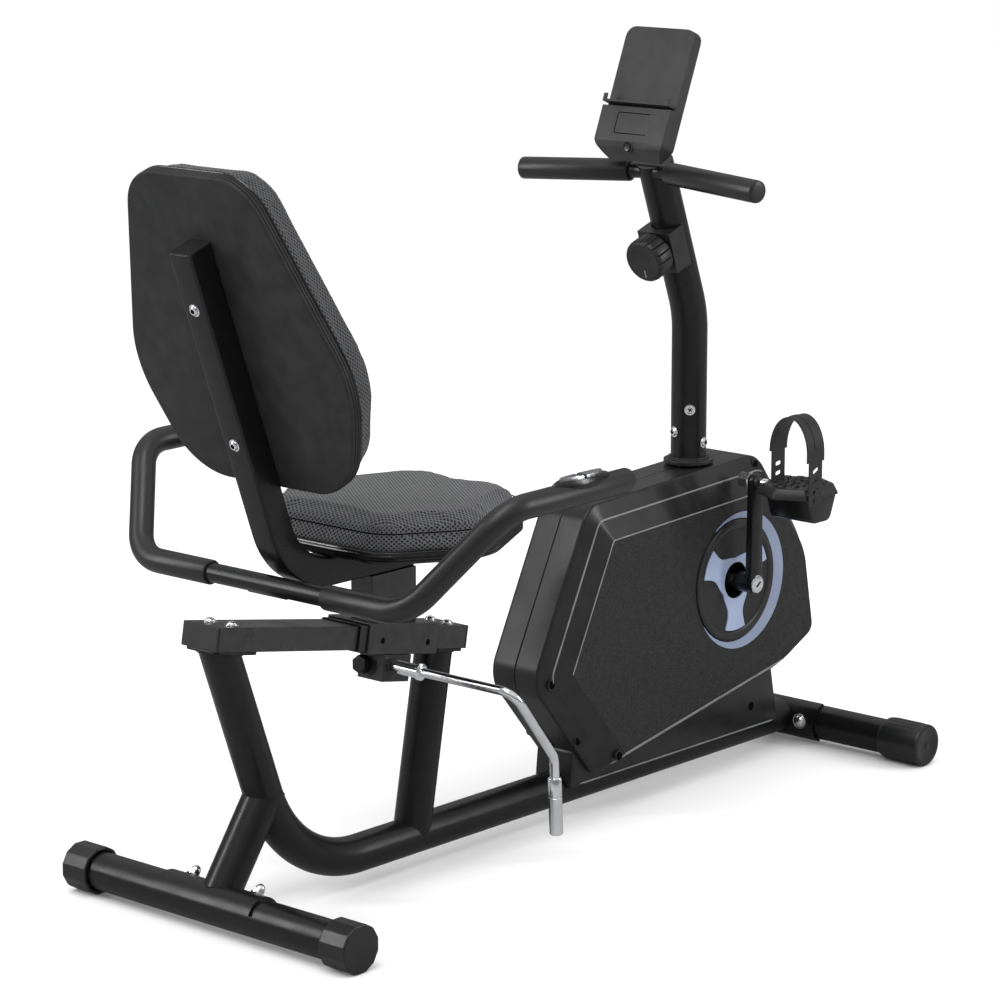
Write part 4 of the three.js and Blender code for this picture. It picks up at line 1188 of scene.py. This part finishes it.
def pedal_weight():
    """The rounded ballast under the tread that keeps it level."""
    outline = rounded([(-0.033, -0.0065, 0.002), (-0.021, -0.042, 0.012), (0.019, -0.042, 0.012),
                       (0.033, -0.0065, 0.002)], 8)
    rings = []
    for grow, b in ((0.90, -0.1348), (0.97, -0.1355), (1, -0.137), (1, -0.2055), (0.97, -0.2072),
                    (0.90, -0.2079)):
        rings.append([pedal_at(a * grow, b, -0.0065 + (h + 0.0065) * grow) for a, h in outline])
    return skin(rings)


STRAP_A0, STRAP_A1 = -0.042, -0.004
LEG_INNER, LEG_OUTER, LEG_MIDDLE, LEG_HALF = -0.148, -0.212, -0.023, 0.0145


def strap_arch():
    """(b, h) over the foot, from the inner leg to the outer one."""
    line = [(-0.180 + 0.032 * math.cos(a), 0.058 + 0.049 * math.sin(a)) for a in arc(-2, 180, 40)]
    return line + [(LEG_OUTER, 0.058 - 0.0110 * k / 6) for k in range(1, 7)]


def strap_band(a0, a1, line, out, thick):
    rings = []
    for i, (b, h) in enumerate(line):
        before, after = line[max(i - 1, 0)], line[min(i + 1, len(line) - 1)]
        way = Vector((after[0] - before[0], after[1] - before[1])).normalized()
        normal = Vector((way.y, -way.x))
        section = []
        for a, level in ((a0, 0), (a0 + 0.0004, thick), (a1 - 0.0004, thick), (a1, 0)):
            spot = Vector((b, h)) + normal * (out + level)
            section.append(pedal_at(a, spot.x, spot.y))
        rings.append(section)
    return skin(rings)


def strap_leg(b, low, high, slots, slant):
    """A flat leg with rounded corners and slanted slots right through it."""
    left, right = LEG_MIDDLE - LEG_HALF, LEG_MIDDLE + LEG_HALF
    loops = [rounded([(left, low, 0.003), (right, low, 0.003), (right, high, 0.001), (left, high, 0.001)], 5)]
    half_long, half_high, corner = 0.0062, 0.0030, 0.0022
    left, right, lift = LEG_MIDDLE - half_long, LEG_MIDDLE + half_long, half_long * math.tan(slant)
    for h in slots:
        low, high = h - half_high, h + half_high
        loops.append(rounded([(left, low - lift, corner), (right, low + lift, corner),
                              (right, high + lift, corner), (left, high - lift, corner)], 4))
    faces = [tuple(t) for t in tessellate_polygon([[Vector((a, h, 0)) for a, h in loop] for loop in loops])]
    sides = b - 0.0009, b + 0.0009
    parts = [([tuple(pedal_at(a, side, h)) for loop in loops for a, h in loop], faces) for side in sides]
    parts += [skin([[pedal_at(a, side, h) for a, h in loop] for side in sides], False) for loop in loops]
    return joined(*parts)


def strap_parts():
    """Narrow slotted legs and a wider arch over the foot with a raised rib."""
    line = strap_arch()
    arch = strap_band(STRAP_A0, STRAP_A1, line, -0.0010, 0.0021)
    rib = strap_band(STRAP_A0 + 0.0155, STRAP_A1 - 0.0155, line[6:-8], 0.0009, 0.0010)
    inner = strap_leg(LEG_INNER, 0.0116, 0.0600, (0.0235, 0.0370), math.radians(8))
    outer = strap_leg(LEG_OUTER, -0.0140, 0.0500, (0.0060, 0.0205, 0.0350), math.radians(24))
    return joined(inner, outer, arch, rib)


def strap_stud():
    """The button on the pedal that holds the strap's outer leg."""
    return turned(pedal_at(LEG_MIDDLE, LEG_OUTER - 0.0008, -0.0075), -AXIS_Y,
                  [(0.0042, 0), (0.0042, 0.0009), (0.0034, 0.0016), (0.0015, 0.0018)], 24)


for word, way in (("right", lambda p: p), ("left", lowered)):
    body = "pedal_" + word
    piece("tread_" + word, moved(pedal_tread(), way), body, SATIN, ["pedal_" + word], sharp=40)
    piece("pedal_weight_" + word, moved(pedal_weight(), way), body, GLOSS, sharp=40)
    piece("strap_" + word, moved(strap_parts(), way), body, STRAP, ["pedal_strap_" + word],
          sharp=40)
    piece("strap_stud_" + word, moved(strap_stud(), way), body, GLOSS)


# ---- housing
HOLE_R = DISC_R + 0.0006


def deeper(depths, extra):
    """The same insets, each a little further in."""
    return [d + extra for d in depths]


def part_way(a, b, share):
    return [x + (y - x) * share for x, y in zip(a, b)]


def housing_side(side):
    """One half of the housing as (walls, panel, recess): the panel has a round opening for the disc."""
    def place(x, z, level):
        return at(x, side * level, z)

    def on_band(share, level):
        """share of the way up the sloping band between the bead and the panel."""
        return part_way(BEAD_IN, PANEL_IN, share), level

    def on_rim(share, level):
        return [d * share for d in BEAD_IN], level

    edge = 0.0012
    wall_layers = [(0.0014, 0.0002), (0.0003, 0.0005), (0, 0.0010), (0, 0.0016), (0, RIM_Y - 4 * edge),
                   (0, RIM_Y - 2.4 * edge), (0.0003, RIM_Y - 0.0010), (edge, RIM_Y + 0.0001),
                   on_rim(0.12, RIM_Y + 0.0010), on_rim(0.2, RIM_Y + 0.0016), on_rim(0.85, RIM_Y + 0.0068),
                   (deeper(BEAD_IN, -edge), BEAD_Y - 0.0006), (deeper(BEAD_IN, -0.0002), BEAD_Y),
                   (deeper(BEAD_IN, edge), BEAD_Y + 0.0006), on_band(0.12, BEAD_Y + 0.0012),
                   on_band(0.88, PANEL_Y - 0.0012), on_band(0.95, PANEL_Y - 0.0006),
                   (deeper(PANEL_IN, -0.0004), PANEL_Y - 0.0001), (PANEL_IN, PANEL_Y)]
    walls = skin(stack(HOUSING, wall_layers, place), False)
    outline = rounded(inset(HOUSING, PANEL_IN), 14)
    hole = [(CRANK[0] + a, CRANK[1] + b) for a, b in circle(HOLE_R, 72)]
    loops = [[Vector((x, z, 0)) for x, z in ring] for ring in (outline, hole)]
    flat = [tuple(place(x, z, PANEL_Y)) for ring in (outline, hole) for x, z in ring]
    panel = flat, [tuple(t) for t in tessellate_polygon(loops)]
    floor = PANEL_Y - 0.0070
    recess = skin([[place(x, z, level) for x, z in hole] for level in (PANEL_Y, floor)], False)
    back = skin([[place(CRANK[0] + a, CRANK[1] + b, floor) for a, b in circle(r, 72)]
                 for r in (HOLE_R, 0.021)], False)
    return walls, panel, joined(recess, back)


def bead_line(side, depths, level, first, last, radius):
    """A fine raised line on the housing, from outline point first to outline point last."""
    points = [at(x, side * level, z) for x, z in rounded(inset(HOUSING, depths), 14)]
    count = len(points)
    run = [points[i % count] for i in range(first, last + 1)]
    line = []
    for i, p in enumerate(run):
        way = (run[min(i + 1, len(run) - 1)] - run[max(i - 1, 0)]).normalized()
        line.append((p, way))
    taper = [circle(radius * min(1, 0.3 + 0.35 * min(i, len(run) - 1 - i)), 10) for i in range(len(run))]
    return sweep(line, taper, AXIS_Y)


SKIRT = [(0.640, 0.042, 0.004), (1.106, 0.042, 0.004), (1.084, 0.150, 0.004), (0.700, 0.150, 0.004),
         (0.645, 0.092, 0.010)]


def skirt(side):
    """The lower part that straddles the main tube."""
    layers = [(0, 0.0003), (0, 0.0300), (0.0005, 0.0314), (0.0020, 0.0321)]
    return skin(stack(SKIRT, layers, lambda x, z, level: at(x, side * level, z), 6))


def screw_well(x, z, y, side):
    """A recessed screw hole with its rim; the hole's dark is a near-black disc, painted shade."""
    start = at(x, side * y, z)
    out = Vector((0, side, 0))
    rim = turned(start - out * 0.002, out,
                 [(0.0078, 0), (0.0078, 0.0022), (0.0072, 0.0027), (0.0062, 0.0027)], 32)
    hole_shade = turned(start - out * 0.002, out, [(0.0060, 0), (0.0060, 0.0029), (0.0050, 0.0030)], 32)
    return rim, hole_shade


def on_slope(x, z):
    """How far out the housing's side stands at (x, z), from the sloped bands inside its nearest edge."""
    nearest, level = 1.0, PANEL_Y
    for i, (x0, z0, _) in enumerate(HOUSING):
        x1, z1, _ = HOUSING[(i + 1) % len(HOUSING)]
        span, offset = Vector((x1 - x0, z1 - z0)), Vector((x - x0, z - z0))
        share = min(max(offset.dot(span) / span.length_squared, 0), 1)
        depth = (offset - span * share).length
        if depth < nearest:
            nearest = depth
            level = float(np.interp(depth, [0, BEAD_IN[i], PANEL_IN[i]], [RIM_Y, BEAD_Y, PANEL_Y]))
    return level


SCREW_SPOTS = [(0.582, 0.204), (0.712, 0.079), (0.642, 0.112), (1.025, 0.437)]
SKIRT_SCREW = (1.0421, 0.0766)

for side, word in SIDES:
    walls, panel, recess = housing_side(side)
    piece("housing_wall_" + word, joined(walls, skirt(side)), "frame", SHELL,
          ["housing_" + word], sharp=40)
    arc_points = 15
    beads = joined(bead_line(side, BEAD_IN, BEAD_Y, 4, 3 * arc_points - 8, 0.0013),
                   bead_line(side, PANEL_IN, PANEL_Y, 6, 3 * arc_points - 8, 0.0010),
                   *[bead_line(side, part_way(BEAD_IN, PANEL_IN, share), BEAD_Y + (PANEL_Y - BEAD_Y) * share,
                               5 * arc_points + 8, 6 * arc_points + 4, 0.0012) for share in (0.0, 0.45, 0.9)])
    # The pale skirt-edge and bead lines are painted highlights along those edges.
    skirt_edge = [(at(x, side * 0.0322, 0.0455), AXIS_X) for x in (0.660, 0.670, 1.085, 1.095)]
    piece("skirt_edge_" + word, sweep(skirt_edge, [circle(r, 10) for r in RIB_TAPER]),
          "frame", EDGE_HIGHLIGHT_AND_MARK)
    piece("housing_beads_" + word, beads, "frame", EDGE_HIGHLIGHT_AND_MARK, sharp=50)
    piece("housing_panel_" + word, panel, "frame", PANEL)
    # The recess round the disc is near-black: painted shade.
    piece("housing_recess_" + word, recess, "frame", LINE)
    rims, hole_shades = [], []
    for x, z, level in [*[(x, z, on_slope(x, z)) for x, z in SCREW_SPOTS], (*SKIRT_SCREW, 0.0316)]:
        rim, hole_shade = screw_well(x, z, level, side)
        rims.append(rim)
        hole_shades.append(hole_shade)
    piece("housing_screw_rims_" + word, joined(*rims), "frame", SHELL)
    # Near-black discs in the screw holes: painted shade.
    piece("housing_screw_hole_shades_" + word, joined(*hole_shades), "frame", LINE)


# ---- crank disc and its crescent
def disc_point(radius, degrees, y, side):
    a = math.radians(degrees)
    return at(CRANK[0] + radius * math.cos(a), side * y, CRANK[1] + radius * math.sin(a))


def spoke_outline():
    """A hub ring with three arms that flare towards their ends."""
    tip, waist, flare, bulge = 0.0725, 0.0325, 17.5, 5.5
    out = []
    for spoke in (32, 153, 270):
        for i in range(25):
            share = i / 24
            out.append((waist + (tip - waist) * share, spoke - flare - (58 - flare) * (1 - share) ** bulge))
        for i in range(1, 8):
            out.append((tip, spoke - flare + 2 * flare * i / 8))
        for i in range(25):
            share = 1 - i / 24
            out.append((waist + (tip - waist) * share, spoke + flare + (58 - flare) * (1 - share) ** bulge))
    return out


def flat_ring(outer, inner, y0, y1, side):
    """A plate between two outlines given as points of (radius, degrees)."""
    loops = [[disc_point(r, d, 0, 1).xz.to_3d() for r, d in ring] for ring in (outer, inner)]
    faces = [tuple(t) for t in tessellate_polygon(loops)]
    top = [tuple(disc_point(r, d, y1, side)) for ring in (outer, inner) for r, d in ring]
    parts = [(top, faces)]
    for ring in (outer, inner):
        parts.append(skin([[disc_point(r, d, y, side) for r, d in ring] for y in (y1, y0)], False))
    return joined(*parts)


def full_circle(radius, count=96):
    """A circle as points of (radius, degrees)."""
    return [(radius, 360 * k / count) for k in range(count)]


def crescent_outline():
    """(x, z) round the moon-shaped trim, between an arc about the crank and one about a shifted centre."""
    centre, outer_r, inner_r = Vector((0.01275, -0.00215)), 0.09855, DISC_R + 0.0014
    outer, inner = [], []
    for a in arc(-141, 121, 100):
        way = Vector((math.cos(a), math.sin(a)))
        reach = centre.dot(way) + math.sqrt(centre.dot(way) ** 2 - centre.length_squared + outer_r ** 2)
        outer.append(way * max(reach, inner_r + 0.0003))
        inner.append(way * inner_r)
    return [(at(CRANK[0] + p.x, 0, 0).x, CRANK[1] + p.y) for p in outer + inner[::-1]]


for side, word in SIDES:
    rim_profile = [(DISC_R - 0.0002, 0.0555), (DISC_R - 0.0002, 0.0598), (DISC_R - 0.0010, 0.0606),
                   (DISC_R - 0.0030, 0.0612), (0.0800, 0.0612), (0.0772, 0.0608), (0.0750, 0.0600),
                   (0.0738, 0.0584)]
    rings = [[disc_point(r, d, y, side) for _, d in full_circle(1)] for r, y in rim_profile]
    piece("disc_rim_" + word, skin(rings, False), "frame", SATIN, ["crank_disc_" + word], sharp=40)
    piece("disc_field_" + word, flat_ring(full_circle(0.0742), full_circle(0.0265), 0.0560, 0.0586, side),
          "frame", DOTS)
    piece("disc_spokes_" + word, flat_ring(spoke_outline(), full_circle(0.0262, 60), 0.0585, 0.0602, side),
          "frame", TRIM, sharp=60)
    outline = crescent_outline()
    low, high = ([Vector((x, side * y, z)) for x, z in outline] for y in (PANEL_Y - 0.0005, PANEL_Y + 0.0008))
    piece("crescent_" + word, skin([low, high]), "frame", CRESCENT, sharp=40)


# ---- floor and light
MIDDLE = Vector((0.0, 0.0, 0.5))
FLOOR_REACH, FLOOR_LEVEL = 60.0, -0.0004
BACKDROP, MIRRORED_LOW, MIRRORED_HIGH = 1.2, 0.09, 0.90


def make_floor():
    """A pale floor, painted darker where gloss mirrors it: painted shade in the reflections."""
    look = Look("studio_floor", (0.88, 0.88, 0.885), 0.7, specular=0.1)
    look.tint(look.noise(1.5), 0.99, 1.01)
    path, mix = look.tree.nodes.new("ShaderNodeLightPath"), look.tree.nodes.new("ShaderNodeMixShader")
    reflected_floor_shade = look.node("ShaderNodeBsdfDiffuse", Color=(0.32, 0.32, 0.325, 1))
    look.link(path.outputs["Is Glossy Ray"], mix.inputs["Fac"])
    look.link(look.shader.outputs["BSDF"], mix.inputs[1])
    look.link(reflected_floor_shade.outputs["BSDF"], mix.inputs[2])
    look.link(mix.outputs["Shader"], look.tree.nodes["Material Output"].inputs["Surface"])
    mesh = bpy.data.meshes.new("studio_floor")
    mesh.from_pydata([(x, y, FLOOR_LEVEL) for x, y in oblong(FLOOR_REACH, FLOOR_REACH)], [], [(0, 1, 2, 3)])
    mesh.materials.append(look.material)
    floor = bpy.data.objects.new("studio_floor", mesh)
    scene.collection.objects.link(floor)


def area_light(name, place, width, height, energy):
    """A soft light that faces the middle of the bike."""
    data = bpy.data.lights.new(name, "AREA")
    data.shape = "RECTANGLE"
    data.size = width
    data.size_y = height
    data.energy = energy
    light = bpy.data.objects.new(name, data)
    light.location = place
    light.rotation_mode = "QUATERNION"
    light.rotation_quaternion = (Vector(place) - MIDDLE).to_track_quat("Z", "Y")
    scene.collection.objects.link(light)


def make_world():
    """White to the eye; metal and gloss mirror a room that brightens with height."""
    world = bpy.data.worlds.new("studio")
    world.use_nodes = True
    tree = world.node_tree
    background = tree.nodes["Background"]
    background.inputs["Color"].default_value = (1, 1, 1, 1)
    path, mix = tree.nodes.new("ShaderNodeLightPath"), tree.nodes.new("ShaderNodeMix")
    place, split = tree.nodes.new("ShaderNodeTexCoord"), tree.nodes.new("ShaderNodeSeparateXYZ")
    height = tree.nodes.new("ShaderNodeMapRange")
    height.inputs["To Min"].default_value = MIRRORED_LOW
    height.inputs["To Max"].default_value = MIRRORED_HIGH
    mix.inputs["A"].default_value = BACKDROP
    tree.links.new(place.outputs["Generated"], split.inputs["Vector"])
    tree.links.new(split.outputs["Z"], height.inputs["Value"])
    tree.links.new(path.outputs["Is Glossy Ray"], mix.inputs["Factor"])
    tree.links.new(height.outputs["Result"], mix.inputs["B"])
    tree.links.new(mix.outputs["Result"], background.inputs["Strength"])
    scene.world = world


make_floor()
make_world()
area_light("key", (-1.3, -0.5, 3.1), 1.1, 2.42, 36)
area_light("rear_strip", (-2.4, 2.0, 1.7), 0.34, 2.04, 34)
area_light("side_strip", (1.9, -2.6, 1.6), 0.30, 1.80, 34)
scene.view_settings.view_transform = "Standard"
